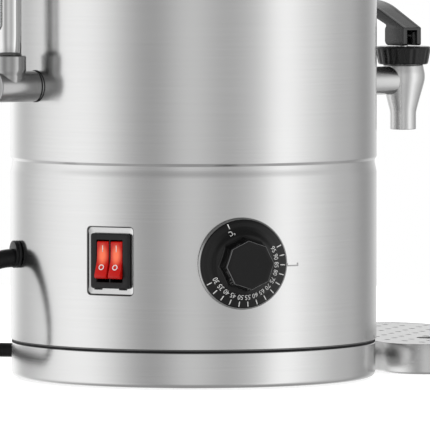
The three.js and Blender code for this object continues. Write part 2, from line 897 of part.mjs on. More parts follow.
add(dialStation, 'dial_knob', dialKnob(), materials.gloss)

// The sensing bulb lies under the heat plate. Its capillary passes below the element to the thermostat.
function sensorBulb() {
  const height = heatPlateLow - seatGap - bulbRadius
  const start = new THREE.Vector3(-bulbLength / 2, bulbOffset, height)
  const end = new THREE.Vector3(bulbLength / 2, bulbOffset, height)
  const entry = new THREE.Vector3(
    0, thermostatHeight / 2 + capillaryRadius, (thermostatBack + thermostatFront) / 2
  ).applyMatrix4(stationMatrix(dialAzimuth, dialHeight))
  const line = smoothPath([
    end, new THREE.Vector3(end.x + capillaryBend, end.y, end.z - capillaryBend),
    new THREE.Vector3(entry.x, entry.y, entry.z + capillaryDrop), entry
  ], wireSteps)
  const path = [start, end, ...line]
  const radiusAt = i => i < 2 ? bulbRadius : capillaryRadius
  return sweptSection(path, i => roundSection(radiusAt(i), wireSides))
}
add(urn, 'sensor_bulb', sensorBulb(), materials.copper)

// Switch: one moulded housing in the pocket's window and two rockers in its wells.
const switchStation = stationGroup(switchAzimuth, switchHeight)
urn.add(switchStation)
const bezelBack = pocketFloor + seatGap
const bezelFace = bezelBack + bezelThickness
const rockerPivot = bezelFace - rockerPivotDepth
const switchBack = bezelBack - switchBodyDepth
const rockerReach = Math.hypot(rockerLength / 2, rockerPivotDepth + rockerCrown)

function switchHousing() {
  const rim = roundedRectangle(bezelWidth, bezelHeight, bezelCorner)
  const body = block(switchBodyWidth, switchBodyHeight, switchBack, bezelBack + bezelRise)
  const wellAt = side => block(
    rockerWidth + 2 * seatGap, 2 * (rockerReach + seatGap),
    rockerPivot - rockerWellDepth, bezelFace + cutOverrun
  ).translate(side * rockerSpacing / 2, 0, 0)
  const pinHole = disc(
    rockerPinRadius + seatGap, -rockerSpacing - rockerPinStub, rockerSpacing + rockerPinStub, pinSides
  )
  const bladeAt = (x, y) => block(
    switchBladeWidth, switchBladeThickness, switchBack - switchBladeLength, switchBack + cutOverrun
  ).translate(x, y, 0)
  const face = roundedRectangle(bezelWidth - 2 * bezelRise, bezelHeight - 2 * bezelRise, bezelCorner)
  const edge = lofted([
    outlineRing(rim, bezelBack), outlineRing(rim, bezelFace - bezelRise), outlineRing(face, bezelFace)
  ])
  const blades = [-1, 1].flatMap(side => [-1, 1].map(row => bladeAt(
    side * rockerSpacing / 2, row * switchBodyHeight / 4
  )))
  return cut(
    joined(edge, body, ...blades),
    wellAt(-1), wellAt(1), pinHole.rotateY(Math.PI / 2).translate(0, 0, rockerPivot)
  )
}

function outlineRing(shape, height) {
  const points = shape.getPoints(arcSteps)
  if (points[0].equals(points[points.length - 1])) points.pop()
  return points.map(p => new THREE.Vector3(p.x, p.y, height))
}
add(switchStation, 'switch_housing', switchHousing(), materials.dark)

// A rocker's side view: a shallow V on top, short skirts, and a hub round its pivot pins.
function rocker() {
  const half = rockerLength / 2
  const crown = rockerPivotDepth + rockerCrown
  const outline = polygon([
    [-half, crown],
    [-half, crown - rockerSkirt],
    ...arcPoints(0, 0, rockerHubRadius, 180, 360),
    [half, crown - rockerSkirt],
    [half, crown],
    [0, crown - rockerDip]
  ])
  const body = prism(outline, -rockerWidth / 2, rockerWidth / 2)
  const pin = disc(
    rockerPinRadius, -rockerWidth / 2 - rockerPinStub, rockerWidth / 2 + rockerPinStub, pinSides
  )
  return joined(body, pin).rotateZ(Math.PI / 2).rotateY(Math.PI / 2)
}

for (const [name, side] of [['rocker_left', -1], ['rocker_right', 1]]) {
  const geometry = rocker().rotateX(radians(-rockerTilt))
  add(switchStation, name, geometry.translate(side * rockerSpacing / 2, 0, rockerPivot), materials.red)
}

// Cord gland: flanged body through the shell, nut inside, tapered cap outside.
const glandStation = stationGroup(glandAzimuth, glandHeight)
urn.add(glandStation)
const glandSeat = shellRadius + seatGap
const glandFace = glandSeat + glandFlangeThickness
const capLow = glandFace + seatGap
const capFace = capLow + glandCapThickness

function glandBody() {
  const stemEnd = shellRadius - glandStemLength
  const profile = [
    [glandStemRadius, stemEnd], [glandStemRadius, glandSeat], [glandRadius, glandSeat],
    [glandRadius, glandFace], [cordRadius + seatGap, glandFace], [cordRadius + seatGap, stemEnd]
  ]
  return turned(profile, mediumSides)
}
add(glandStation, 'gland_body', glandBody(), materials.dark)

// The relief leaves the cap straight and bends down evenly to its full slope.
function reliefPath() {
  const step = reliefLength / reliefSteps
  const path = [new THREE.Vector3(0, -reliefDrop, capLow), new THREE.Vector3(0, -reliefDrop, capFace)]
  for (let i = 0; i < reliefSteps; i++) {
    const slope = radians(reliefSlope * (i + 0.5) / reliefSteps)
    const way = new THREE.Vector3(0, -Math.sin(slope), Math.cos(slope))
    path.push(path[i + 1].clone().addScaledVector(way, step))
  }
  return path
}
const reliefLine = reliefPath()
const reliefEnd = reliefLine[reliefLine.length - 1]
const reliefWay = reliefEnd.clone().sub(reliefLine[reliefLine.length - 2]).normalize()

function glandCap() {
  const radiusAt = i => THREE.MathUtils.lerp(
    reliefRadius, reliefTipRadius, Math.max(i - 1, 0) / reliefSteps
  )
  const up = new THREE.Vector3(0, 1, 0)
  const relief = sweptSection(reliefLine, i => roundSection(radiusAt(i), mediumSides), up)
  const bore = [
    reliefLine[0].clone().add(new THREE.Vector3(0, 0, -cutOverrun)), ...reliefLine,
    reliefEnd.clone().addScaledVector(reliefWay, cutOverrun)
  ]
  return cut(
    joined(disc(glandRadius, capLow, capFace, mediumSides), relief), swept(bore, reliefBore, smallSides, up)
  )
}
add(glandStation, 'gland_cap', glandCap(), materials.dark)

const glandNutHigh = shellInsideAt(glandNutAcross / Math.sqrt(3)) - seatGap
add(glandStation, 'gland_nut',
  hexagonNut(glandNutAcross, glandStemRadius + seatGap, glandNutHigh - glandNutHeight, glandNutHigh),
  materials.dark)

// Mains lead. The lead's points are chosen by hand between the gland and the coil, then from coil to plug.
const glandPlace = stationMatrix(glandAzimuth, glandHeight + padProud)
const exitPoint = reliefEnd.clone().addScaledVector(reliefWay, seatGap).applyMatrix4(glandPlace)
const exitDirection = reliefWay.clone().transformDirection(glandPlace)

// Turns along the coil: in at a steady rate, up a layer in the half turn where it reverses, and out.
function coilPoint(turns) {
  const reversal = (coilTurns + quarterTurnShare) / 2
  const radius = coilInnerRadius + coilPitch * Math.abs(turns - reversal)
  const angle = 2 * Math.PI * (turns - quarterTurnShare)
  const climb = THREE.MathUtils.smoothstep(turns, reversal - quarterTurnShare, reversal + quarterTurnShare)
  return new THREE.Vector3(
    coilCentre[0] + radius * Math.cos(angle),
    coilCentre[1] + radius * Math.sin(angle),
    cordRadius + coilPitch * climb
  )
}

function coilPath() {
  const steps = Math.round(coilTurns * coilStepsPerTurn)
  const path = Array.from({ length: steps + 1 }, (_, i) => coilPoint(coilTurns * i / steps))
  const straight = 2 * cordRadius
  const start = path[0].clone().addScaledVector(new THREE.Vector3(1, 0, 0), -straight)
  const end = path[steps].clone().addScaledVector(new THREE.Vector3(0, 1, 0), straight)
  return [start, ...path, end]
}
const coilLine = coilPath()
const coilStart = coilLine[0]
const coilEnd = coilLine[coilLine.length - 1]

// The least gap between stretches of the coil that lie more than a quarter turn apart.
function leastSelfGap(path, radius) {
  let least = Infinity
  const apart = coilStepsPerTurn / 4
  for (let i = 0; i < path.length; i++) {
    for (let j = i + apart; j + 1 < path.length; j++) {
      const segment = new THREE.Line3(path[j], path[j + 1])
      const near = segment.closestPointToPoint(path[i], true, new THREE.Vector3())
      least = Math.min(least, near.distanceTo(path[i]) - 2 * radius)
    }
  }
  return least
}
console.log(`least gap of the cord coil to itself: ${leastSelfGap(coilLine, cordRadius).toFixed(2)} mm`)
add(model, 'cord_coil', swept(coilLine, cordRadius, coilSides), materials.cable)

const leadPoints = [
  [-151, -50, 43.5], [-166, -51, 28], [-181, -46, 15.5], [-193, -34, 8], [-201, -16, 4.9],
  [-204, 8, 4.6], [-203, 36, 4.6], [-199, 66, 4.6], [-191, 98, 4.6], [-177, 130, 4.6],
  [-156, 157, 4.6], [-134, 168.5, 4.6], [-113, 167.5, 4.6], [-97, 159, 4.6], [-81, 149.3, 4.6],
  [-64.5, 139.4, 4.5], [-54.3, 135, 4.5]
]

function cordLead() {
  const start = exitPoint
  const straight = exitPoint.clone().addScaledVector(exitDirection, 2 * cordRadius)
  const end = coilStart.clone().add(new THREE.Vector3(-seatGap, 0, 0))
  const before = end.clone().add(new THREE.Vector3(-2 * cordRadius, 0, 0))
  const points = [start, straight, ...leadPoints.map(p => new THREE.Vector3(...p)), before, end]
  return new THREE.CatmullRomCurve3(points, false, 'centripetal')
}

function plainTube(curve, radius) {
  const section = new THREE.Shape(roundSection(radius, cordSides).map(([x, y]) => new THREE.Vector2(x, y)))
  const steps = Math.ceil(curve.getLength() / cordStepLength)
  const options = { steps, extrudePath: curve, bevelEnabled: false }
  return welded(new THREE.ExtrudeGeometry(section, options))
}
const leadCurve = cordLead()
add(model, 'cord_lead', plainTube(leadCurve, cordRadius), materials.cable)

// Plug: a round two-pin plug lying behind the coil, its tapered relief towards the cord.
const plugAxisY = 271
const plugReliefEnd = -28
const tailPoints = [[29.8, 224, 12], [23.5, 246.5, 11.5], [5.6, 264.4, 15.5]]

function plugTail() {
  const start = coilEnd.clone().add(new THREE.Vector3(0, seatGap, 0))
  const after = start.clone().add(new THREE.Vector3(0, 2 * cordRadius, 0))
  const end = new THREE.Vector3(plugReliefEnd + seatGap, plugAxisY, plugBodyRadius)
  const before = end.clone().add(new THREE.Vector3(2 * cordRadius, 0, 0))
  const points = [start, after, ...tailPoints.map(p => new THREE.Vector3(...p)), before, end]
  return new THREE.CatmullRomCurve3(points, false, 'centripetal')
}
const tailCurve = plugTail()
add(model, 'cord_tail', plainTube(tailCurve, cordRadius), materials.cable)

const plugGroup = new THREE.Group()
plugGroup.position.set(plugReliefEnd, plugAxisY, plugBodyRadius)
plugGroup.rotation.set(0, -Math.PI / 2, 0)
model.add(plugGroup)
const plugFace = plugReliefLength + plugBodyLength

function plugBody() {
  const edge = plugBodyRadius / 8
  return turned([
    [0, 0], [plugReliefRadius, 0], [plugNeckRadius, plugReliefLength],
    [plugBodyRadius - edge, plugReliefLength + plugBodyLength / 3],
    [plugBodyRadius, plugReliefLength + plugBodyLength / 2],
    [plugBodyRadius, plugFace - edge], [plugBodyRadius - edge, plugFace], [0, plugFace]
  ], mediumSides)
}

function plugPinAt(side) {
  const foot = plugFace - plugPinLength / 4
  const tip = plugFace + plugPinLength
  return turned([
    [0, foot], [plugPinRadius, foot], [plugPinRadius, tip - plugPinRadius], [plugPinRadius / 2, tip], [0, tip]
  ], pinSides).translate(0, side * plugPinSpacing / 2, 0)
}

// The moulded bridge that holds both pins, open to the plug's face.
function plugBridge(clearance) {
  const width = plugPinSpacing + 4 * plugPinRadius + 2 * clearance
  const height = 4 * plugPinRadius + 2 * clearance
  return prism(
    roundedRectangle(width, height, plugPinRadius), plugFace - plugPinLength / 3 - clearance,
    clearance ? plugFace + cutOverrun : plugFace
  ).rotateZ(Math.PI / 2)
}
add(plugGroup, 'plug_body', cut(plugBody(), plugBridge(seatGap)), materials.cable)
add(plugGroup, 'plug_pins', joined(plugBridge(0), plugPinAt(-1), plugPinAt(1)), materials.polished)

// Tap. Its heights are the urn's own, so its station lies at the table side of the base.
const tapStation = stationGroup(tapAzimuth, 0)
urn.add(tapStation)
const tapAxis = new THREE.Group()
tapAxis.position.z = tapReach
tapAxis.rotation.x = -Math.PI / 2
tapStation.add(tapAxis)
const tapNeckHeight = tapPipeHeight + tapPipeRadius + tapNeckClearance
const tapBellyHeight = tapPipeHeight + tapBellyRise
const tapConeTop = tapPipeHeight - tapConeDrop
const spoutTop = tapConeTop - tapConeHeight
const spoutEnd = spoutTop - spoutLength
const valveSeatHeight = tapPipeHeight - valveSeatDrop
const collarFoot = tapNeckHeight + seatGap
const collarTop = collarFoot + collarHeight
const leverFloor = collarTop + 2 * seatGap
const leverPinHeight = leverFloor + leverPinRise
const leverHeadTop = leverPinHeight + leverHeadRise
const gasketSeat = shellRadius + seatGap
const tapFlangeSeat = gasketSeat + tapGasketThickness + seatGap

// A cylinder along the tap's pipe, between two distances from the urn's axis, in the tap axis' frame.
function alongPipe(geometry) {
  return geometry.translate(0, 0, -tapReach).rotateX(Math.PI / 2).translate(0, 0, tapPipeHeight)
}

function tapBody() {
  const outside = turned([
    [0, spoutEnd], [spoutRadius, spoutEnd], [spoutRadius, spoutTop], [tapConeRadius, tapConeTop],
    [tapBellyRadius, tapBellyHeight], [tapNeckRadius, tapNeckHeight], [tapThreadRadius, tapNeckHeight],
    [tapThreadRadius, tapNeckHeight + tapThreadRise], [0, tapNeckHeight + tapThreadRise]
  ], mediumSides)
  const flange = disc(tapFlangeRadius, tapFlangeSeat, tapFlangeSeat + tapFlangeThickness, mediumSides)
  const pipe = disc(tapPipeRadius, tapFlangeSeat, tapReach, mediumSides)
  const stud = disc(tapStudRadius, tapStudEnd, tapFlangeSeat + tapFlangeThickness, mediumSides)
  const waterway = disc(tapPipeBore, tapStudEnd - cutOverrun, tapReach, smallSides)
  const chamberTop = tapNeckHeight + tapThreadRise + cutOverrun
  return cut(
    joined(outside, alongPipe(flange), alongPipe(pipe), alongPipe(stud)),
    alongPipe(waterway),
    disc(chamberRadius, valveSeatHeight, chamberTop, mediumSides),
    disc(spoutBore, spoutEnd - cutOverrun, valveSeatHeight + cutOverrun, smallSides)
  )
}
add(tapAxis, 'tap_body', tapBody(), materials.satin)

const tapGasket = ring(
  tapFlangeRadius, tapStudRadius + seatGap, gasketSeat, gasketSeat + tapGasketThickness, mediumSides
)
add(tapAxis, 'tap_gasket', alongPipe(tapGasket), materials.rubber)

const tapNutHigh = tankInsideAt(tapNutAcross / Math.sqrt(3)) - seatGap
const tapNut = hexagonNut(tapNutAcross, tapStudRadius + seatGap, tapNutHigh - tapNutHeight, tapNutHigh)
add(tapAxis, 'tap_nut', alongPipe(tapNut), materials.satin)

// Collar: a fluted cap nut over the body's thread, with the stem's guide hole in its roof.
function collarRing(radius, height, depth) {
  const samples = collarFlutes * collarFluteSteps
  return Array.from({ length: samples }, (_, i) => {
    const angle = 2 * Math.PI * i / samples
    const dip = depth * (1 + Math.cos(collarFlutes * angle)) / 2
    return new THREE.Vector3((radius - dip) * Math.cos(angle), (radius - dip) * Math.sin(angle), height)
  })
}

function tapCollar() {
  const brim = (collarTop - collarFoot) / 5
  const outside = lofted([
    collarRing(collarFootRadius, collarFoot, collarFluteDepth),
    collarRing(collarTopRadius, collarTop - brim, collarFluteDepth),
    collarRing(collarTopRadius, collarTop - brim / 2, 0),
    collarRing(collarTopRadius - brim / 2, collarTop, 0)
  ])
  return cut(
    outside,
    disc(tapThreadRadius + seatGap, collarFoot - cutOverrun, collarTop - collarRoof, mediumSides),
    disc(stemRadius + seatGap, collarFoot, collarTop + cutOverrun, smallSides)
  )
}
add(tapAxis, 'tap_collar', tapCollar(), materials.dark)

// Valve: silicone cup on the seat, stem through the collar, spring between shoulder and roof.
const cupLow = valveSeatHeight + seatGap
const cupTop = cupLow + cupHeight
const shoulderLow = cupTop + seatGap
const shoulderTop = shoulderLow + stemShoulderHeight

function seatCup() {
  const lip = cupHeight / 3
  return turned([
    [cupRadius - lip, cupLow], [cupRadius, cupLow + lip],
    [cupRadius, cupTop - lip], [cupRadius - lip, cupTop],
    [cupBore, cupTop], [cupBore, cupLow + lip], [0, cupLow + lip], [0, cupLow]
  ], mediumSides)
}
add(tapAxis, 'tap_seat_cup', seatCup(), materials.silicone)

function tapStem() {
  const spigot = cupBore - seatGap
  const rod = turned([
    [0, cupLow + cupHeight / 3 + seatGap], [spigot, cupLow + cupHeight / 3 + seatGap], [spigot, shoulderLow],
    [stemShoulderRadius, shoulderLow], [stemShoulderRadius, shoulderTop], [stemRadius, shoulderTop],
    ...arcPoints(0, leverPinHeight, stemRadius, 0, 90)
  ], smallSides)
  const eye = disc(leverPinRadius + seatGap, -stemRadius - cutOverrun, stemRadius + cutOverrun, pinSides)
  return cut(rod, eye.rotateX(Math.PI / 2).translate(0, 0, leverPinHeight))
}
add(tapAxis, 'tap_stem', tapStem(), materials.satin)

function tapSpring() {
  const low = shoulderTop + seatGap + springWire
  const high = collarTop - collarRoof - seatGap - springWire
  const steps = springTurns * springSteps
  const path = Array.from({ length: steps + 1 }, (_, i) => {
    const angle = 2 * Math.PI * i / springSteps
    return new THREE.Vector3(
      springRadius * Math.cos(angle), springRadius * Math.sin(angle), low + (high - low) * i / steps
    )
  })
  return swept(path, springWire, springSides)
}
add(tapAxis, 'tap_spring', tapSpring(), materials.polished)

// Lever: a slotted head on the stem's pin, with a cam corner below the arm.
function leverOutline() {
  const rise = radians(leverArmRise)
  const along = [Math.cos(rise), Math.sin(rise)]
  const half = leverArmThickness / 2
  const armStart = [leverArmFace, leverFloor + (leverPinHeight - leverFloor) * leverArmFootShare]
  const tipCentre = [along[0] * (leverArmLength - half), leverPinHeight + along[1] * (leverArmLength - half)]
  const tip = arcPoints(...tipCentre, half, leverArmRise - 90, leverArmRise + 90, 4)
  return [
    [-leverEndFace, leverFloor],
    ...arcPoints(leverArmFace - leverCamRadius, leverFloor + leverCamRadius, leverCamRadius, -90, 0),
    armStart,
    ...tip,
    [leverArmFace / 2, leverHeadTop],
    [-leverEndFace, leverPinHeight + leverPinRadius * 2]
  ]
}

function tapLever() {
  const slab = prism(polygon(leverOutline()), -leverWidth / 2, leverWidth / 2).rotateX(Math.PI / 2)
  const slotLength = leverEndFace + cutOverrun + leverSlotEnd
  const slot = block(
    slotLength, leverSlotWidth, leverFloor - cutOverrun, leverPinHeight + stemRadius + 2 * seatGap
  ).translate(leverSlotEnd - slotLength / 2, 0, 0)
  const bore = disc(leverPinRadius + seatGap, -leverWidth, leverWidth, pinSides)
  return cut(slab, slot, bore.rotateX(Math.PI / 2).translate(0, 0, leverPinHeight))
}
add(tapAxis, 'tap_lever', tapLever(), materials.gloss)

const leverPin = disc(leverPinRadius, -leverWidth / 2 + seatGap, leverWidth / 2 - seatGap, pinSides)
leverPin.rotateX(Math.PI / 2).translate(0, 0, leverPinHeight)
add(tapAxis, 'tap_lever_pin', leverPin, materials.polished)

// Level gauge: two tee fittings through both walls, a glass between their seals, a slotted guard tube.
const gaugeStation = stationGroup(gaugeAzimuth, 0)
urn.add(gaugeStation)
const gaugeGasketSeat = shellRadius + seatGap
const gaugeShoulder = gaugeGasketSeat + gaugeGasketThickness + seatGap
const guardInside = guardRadius - guardWall
const socketBore = guardRadius + seatGap
const sealStop = gaugeSocketRise - guardEngagement - seatGap

// One fitting, with its socket up (1) or down (-1), in the station's frame round its own height.
function gaugeFitting(direction) {
  const pipe = disc(gaugePipeRadius, gaugeShoulder, gaugeEnd, mediumSides)
  const stud = disc(gaugeStudRadius, gaugeStudEnd, gaugeShoulder + cutOverrun, smallSides)
  const stand = geometry => upright(geometry).rotateX(direction < 0 ? Math.PI : 0).translate(0, 0, gaugeReach)
  const socket = disc(gaugeSocketRadius, 0, gaugeSocketRise, mediumSides)
  const sealFloor = sealStop - sealHeight - 2 * seatGap
  const bore = turned([
    [0, 0], [gaugeWaterBore, 0], [gaugeWaterBore, sealFloor], [socketBore, sealFloor],
    [socketBore, gaugeSocketRise + cutOverrun], [0, gaugeSocketRise + cutOverrun]
  ], mediumSides)
  return cut(
    joined(pipe, stud, stand(socket)),
    disc(gaugeWaterBore, gaugeStudEnd - cutOverrun, gaugeReach, smallSides), stand(bore)
  )
}

const gaugeNutHigh = tankInsideAt(gaugeNutAcross / Math.sqrt(3)) - seatGap
for (const [place, height, direction] of [['lower', gaugeLow, 1], ['upper', gaugeHigh, -1]]) {
  const gasket = ring(
    gaugeGasketRadius, gaugeStudRadius + seatGap,
    gaugeGasketSeat, gaugeGasketSeat + gaugeGasketThickness, mediumSides
  )
  const nut = hexagonNut(
    gaugeNutAcross, gaugeStudRadius + seatGap, gaugeNutHigh - gaugeNutHeight, gaugeNutHigh
  )
  const sealLow = sealStop - sealHeight - seatGap
  const seal = ring(socketBore - seatGap, glassRadius + seatGap, sealLow, sealLow + sealHeight, mediumSides)
  const standing = upright(seal).rotateX(direction < 0 ? Math.PI : 0).translate(0, height, gaugeReach)
  const fitting = gaugeFitting(direction).translate(0, height, 0)
  add(gaugeStation, `gauge_${place}_fitting`, fitting, materials.satin)
  add(gaugeStation, `gauge_${place}_gasket`, gasket.translate(0, height, 0), materials.rubber)
  add(gaugeStation, `gauge_${place}_nut`, nut.translate(0, height, 0), materials.satin)
  add(gaugeStation, `gauge_${place}_seal`, standing, materials.rubber)
}

const glassFoot = gaugeLow + sealStop - sealHeight - seatGap
const glassTop = gaugeHigh - (glassFoot - gaugeLow)
const gaugeGlass = ring(glassRadius, glassRadius - glassWall, glassFoot, glassTop, glassSides)
add(gaugeStation, 'gauge_glass', upright(gaugeGlass).translate(0, 0, gaugeReach), materials.glass)

function gaugeGuard() {
  const low = gaugeLow + gaugeSocketRise - guardEngagement
  const high = gaugeHigh + gaugeLow - low
  const tube = upright(ring(guardRadius, guardInside, low, high, mediumSides))
  const slotHigh = gaugeHigh + gaugeLow - guardSlotLow
  const half = guardSlotWidth / 2
  const slot = polygon([
    ...arcPoints(0, guardSlotLow + half, half, 180, 360, 6), ...arcPoints(0, slotHigh - half, half, 0, 180, 6)
  ])
  return cut(tube, prism(slot, 0, guardRadius + cutOverrun)).translate(0, 0, gaugeReach)
}
add(gaugeStation, 'gauge_guard', gaugeGuard(), materials.polished)

// Side handles: a bail of flattened section on two feet, held by screws from inside the double wall.
const handleFootSeat = Math.sqrt(shellRadius ** 2 - (handleSpan / 2 - handleFootRadius) ** 2) + seatGap

function handlePath() {
  const half = handleSpan / 2
  const reach = handleFootSeat + handleReach
  const corner = (side, steps) => arcPoints(
    half - handleBend, reach - handleBend, handleBend, side < 0 ? 90 : 0, side < 0 ? 0 : 90, steps
  )
  const right = corner(1, cornerSteps).map(([x, z]) => new THREE.Vector3(x, 0, z))
  const left = corner(-1, cornerSteps).map(([x, z]) => new THREE.Vector3(-x, 0, z))
  return [
    new THREE.Vector3(half, 0, handleFootSeat + handleFootThickness / 2), ...right, ...left,
    new THREE.Vector3(-half, 0, handleFootSeat + handleFootThickness / 2)
  ]
}

function handle() {
  const section = roundSection(1, pinSides).map(([x, y]) => [x * handleThickness / 2, y * handleDepth / 2])
  const bail = sweptSection(handlePath(), () => section, new THREE.Vector3(0, 1, 0))
  const feet = [-1, 1].map(side => disc(
    handleFootRadius, handleFootSeat, handleFootSeat + handleFootThickness, smallSides
  ).translate(side * handleSpan / 2, 0, 0))
  const heel = disc(shellRadius + seatGap, 0, 2 * handleFootRadius, largeSides)
  const grip = cut(joined(bail, ...feet), upright(heel).translate(0, -handleFootRadius, 0))
  return joined(grip, handleBolt(-1), handleBolt(1))
}

// A bolt moulded into the foot, with its nut between the two walls.
function handleBolt(side) {
  const nutSeat = shellInsideAt(handleSpan / 2 + handleNutRadius) - seatGap
  const nut = disc(handleNutRadius, nutSeat - handleNutHeight, nutSeat, 6)
  const bolt = disc(
    handleScrewRadius, nutSeat - handleNutHeight, handleFootSeat + handleFootThickness, pinSides
  )
  return joined(nut, bolt).translate(side * handleSpan / 2, 0, 0)
}

handleAzimuths.forEach((azimuth, i) => {
  const group = stationGroup(azimuth, handleHeight)
  urn.add(group)
  add(group, `handle_${i + 1}`, handle(), materials.gloss)
})

// Drip tray: a shallow pan that keeps clear of the base in an arc, with a perforated grille inside.
function trayOutline(inset) {
  const corner = trayCorner - inset
  const width = trayHalfWidth - trayCorner
  const near = trayInner + inset
  const reach = trayOuter - trayCorner
  const innerCentre = Math.sqrt((trayInner + trayCorner) ** 2 - width ** 2)
  const tangent = THREE.MathUtils.radToDeg(Math.atan2(width, innerCentre))
  return [
    ...arcPoints(innerCentre, -width, corner, 180 - tangent, 270, cornerSteps),
    ...arcPoints(reach, -width, corner, 270, 360, cornerSteps),
    ...arcPoints(reach, width, corner, 0, 90, cornerSteps),
    ...arcPoints(innerCentre, width, corner, 90, 180 + tangent, cornerSteps),
    ...arcPoints(0, 0, near, tangent, -tangent, 2 * cornerSteps).slice(1, -1)
  ]
}

const trayGroup = new THREE.Group()
trayGroup.rotation.z = radians(trayAzimuth - 90)
model.add(trayGroup)

function dripTray() {
  const at = (inset, height) => trayOutline(inset).map(([x, y]) => new THREE.Vector3(x, y, height))
  const edge = arcPoints(trayEdgeRadius, trayEdgeRadius, trayEdgeRadius, 270, 180)
  const outside = lofted([...edge.map(([inset, height]) => at(inset, height)), at(0, trayHeight)], true)
  const hollow = lofted([
    at(trayWall + trayEdgeRadius, trayWall), at(trayWall, trayWall + trayEdgeRadius),
    at(trayWall, trayHeight + cutOverrun)
  ], true)
  return cut(outside, hollow)
}
add(trayGroup, 'drip_tray', dripTray(), materials.brushed)

// Whether a place keeps a margin from the grille's edge and from both finger holes.
function grilleHoleFits(u, v) {
  const width = trayHalfWidth - trayCorner
  const nearEnd = Math.hypot(u, v) < trayInner + grilleMargin
  const farEnd = u > trayOuter - grilleMargin || Math.abs(v) > trayHalfWidth - grilleMargin
  const reach = trayOuter - trayCorner
  const inCorner = u > reach && Math.abs(v) > width
    && Math.hypot(u - reach, Math.abs(v) - width) > trayCorner - grilleMargin
  const innerCentre = Math.sqrt((trayInner + trayCorner) ** 2 - width ** 2)
  const inHorn = u < innerCentre && Math.abs(v) > width
    && Math.hypot(u - innerCentre, Math.abs(v) - width) > trayCorner - grilleMargin
  const fromFinger = Math.hypot(u - fingerHoleReach, Math.abs(v) - fingerHoleOffset)
  const finger = fromFinger < fingerHoleRadius + grilleMargin / 2
  return !(nearEnd || farEnd || inCorner || inHorn || finger)
}

function dripGrille() {
  const top = trayHeight - grilleRecess
  const low = top - grilleThickness
  const shape = polygon(trayOutline(trayWall + seatGap))
  const rowPitch = grillePitch * Math.sqrt(3) / 2
  const rows = Math.ceil(trayOuter / rowPitch)
  const columns = Math.ceil(trayHalfWidth / grillePitch)
  for (let row = 0; row < rows; row++) {
    const u = trayOuter - grilleMargin - rowPitch * row
    for (let column = -columns; column <= columns; column++) {
      const v = (column + (row % 2) / 2) * grillePitch
      if (grilleHoleFits(u, v)) shape.holes.push(holePath(u, v, grilleHoleRadius, grilleHoleSides))
    }
  }
  for (const side of [-1, 1]) {
    shape.holes.push(holePath(fingerHoleReach, side * fingerHoleOffset, fingerHoleRadius, smallSides))
  }
  const foot = disc(grilleFootRadius, trayWall + seatGap, low + grilleThickness / 2, pinSides)
  const feet = [-1, 1].flatMap(side => [
    [trayOuter - grilleFootInset, side * (trayHalfWidth - grilleFootInset)],
    [Math.hypot(trayInner, trayHalfWidth) - grilleFootInset / 2, side * (trayHalfWidth - grilleFootInset)]
  ])
  return joined(prism(shape, low, top), ...feet.map(([u, v]) => foot.clone().translate(u, v, 0)))
}

function holePath(x, y, radius, sides) {
  return new THREE.Path(arcPoints(x, y, radius, 0, 360, sides).slice(0, sides)
    .map(([u, v]) => new THREE.Vector2(u, v)))
}
add(trayGroup, 'drip_grille', dripGrille(), materials.brushed)

// Wiring from the gland to the terminal block, the switch, the thermostat and the element.
const terminalLow = plateHigh + seatGap
const cellPitch = terminalLength / terminalCellCount

function terminalBlock() {
  const box = block(terminalLength, terminalWidth, terminalLow, terminalLow + terminalHeight)
  const cells = Array.from({ length: terminalCellCount }, (_, i) => {
    const x = (i - (terminalCellCount - 1) / 2) * cellPitch
    return disc(
      terminalCellRadius, terminalLow + terminalHeight - terminalCellDepth,
      terminalLow + terminalHeight + cutOverrun, pinSides
    ).translate(x, 0, 0)
  })
  return cut(box, ...cells).translate(...terminalCentre, 0)
}
add(urn, 'terminal_block', terminalBlock(), materials.bakelite)

// A bundle of wires as one tube. It leaves each end straight, by the loom's bend.
function wire([start, startWay], [end, endWay]) {
  const points = [
    start, start.clone().addScaledVector(startWay, loomBend),
    end.clone().addScaledVector(endWay, loomBend), end
  ]
  return swept(smoothPath(points, wireSteps), wireRadius, wireSides, wireUp)
}

function insideShell(azimuth, height, x, distance) {
  const inwards = stationMatrix(azimuth, height)
  return [
    new THREE.Vector3(x, 0, distance).applyMatrix4(inwards),
    new THREE.Vector3(0, 0, -1).transformDirection(inwards)
  ]
}
const wireUp = new THREE.Vector3(1, 2, 4)
const upwards = new THREE.Vector3(0, 0, 1)
const wireLow = terminalLow + terminalHeight + seatGap
const terminalTop = i => [
  new THREE.Vector3(terminalCentre[0] + i * cellPitch, terminalCentre[1], wireLow), upwards
]
const thermostatRear = x => insideShell(dialAzimuth, dialHeight, x, thermostatBack - seatGap)
const glandInner = insideShell(glandAzimuth, glandHeight, 0, shellRadius - glandStemLength - seatGap)
const switchRear = insideShell(switchAzimuth, switchHeight, 0, switchBack - switchBladeLength - seatGap)
const elementEnd = [elementPath()[0].clone().add(new THREE.Vector3(0, 0, -seatGap)), upwards.clone().negate()]

add(urn, 'supply_wires', wire(glandInner, terminalTop(-1)), materials.cable)
add(urn, 'switch_wires', wire(switchRear, terminalTop(0)), materials.cable)
add(urn, 'thermostat_wires', wire(thermostatRear(-thermostatWireOffset), terminalTop(1)), materials.cable)
add(urn, 'element_wires', wire(thermostatRear(thermostatWireOffset), elementEnd), materials.cable)

// The whole is set down on the middle of its own footprint, without the lead and its plug.
const cordNodes = ['cord_lead', 'cord_coil', 'cord_tail', 'plug_body', 'plug_pins']
model.updateMatrixWorld(true)
const footprint = new THREE.Box3()
model.traverse(piece => {
  if (piece.isMesh && !cordNodes.includes(piece.name)) footprint.expandByObject(piece, true)
})
const middle = footprint.getCenter(new THREE.Vector3())
model.position.set(-middle.x, -middle.y, 0)

export default model
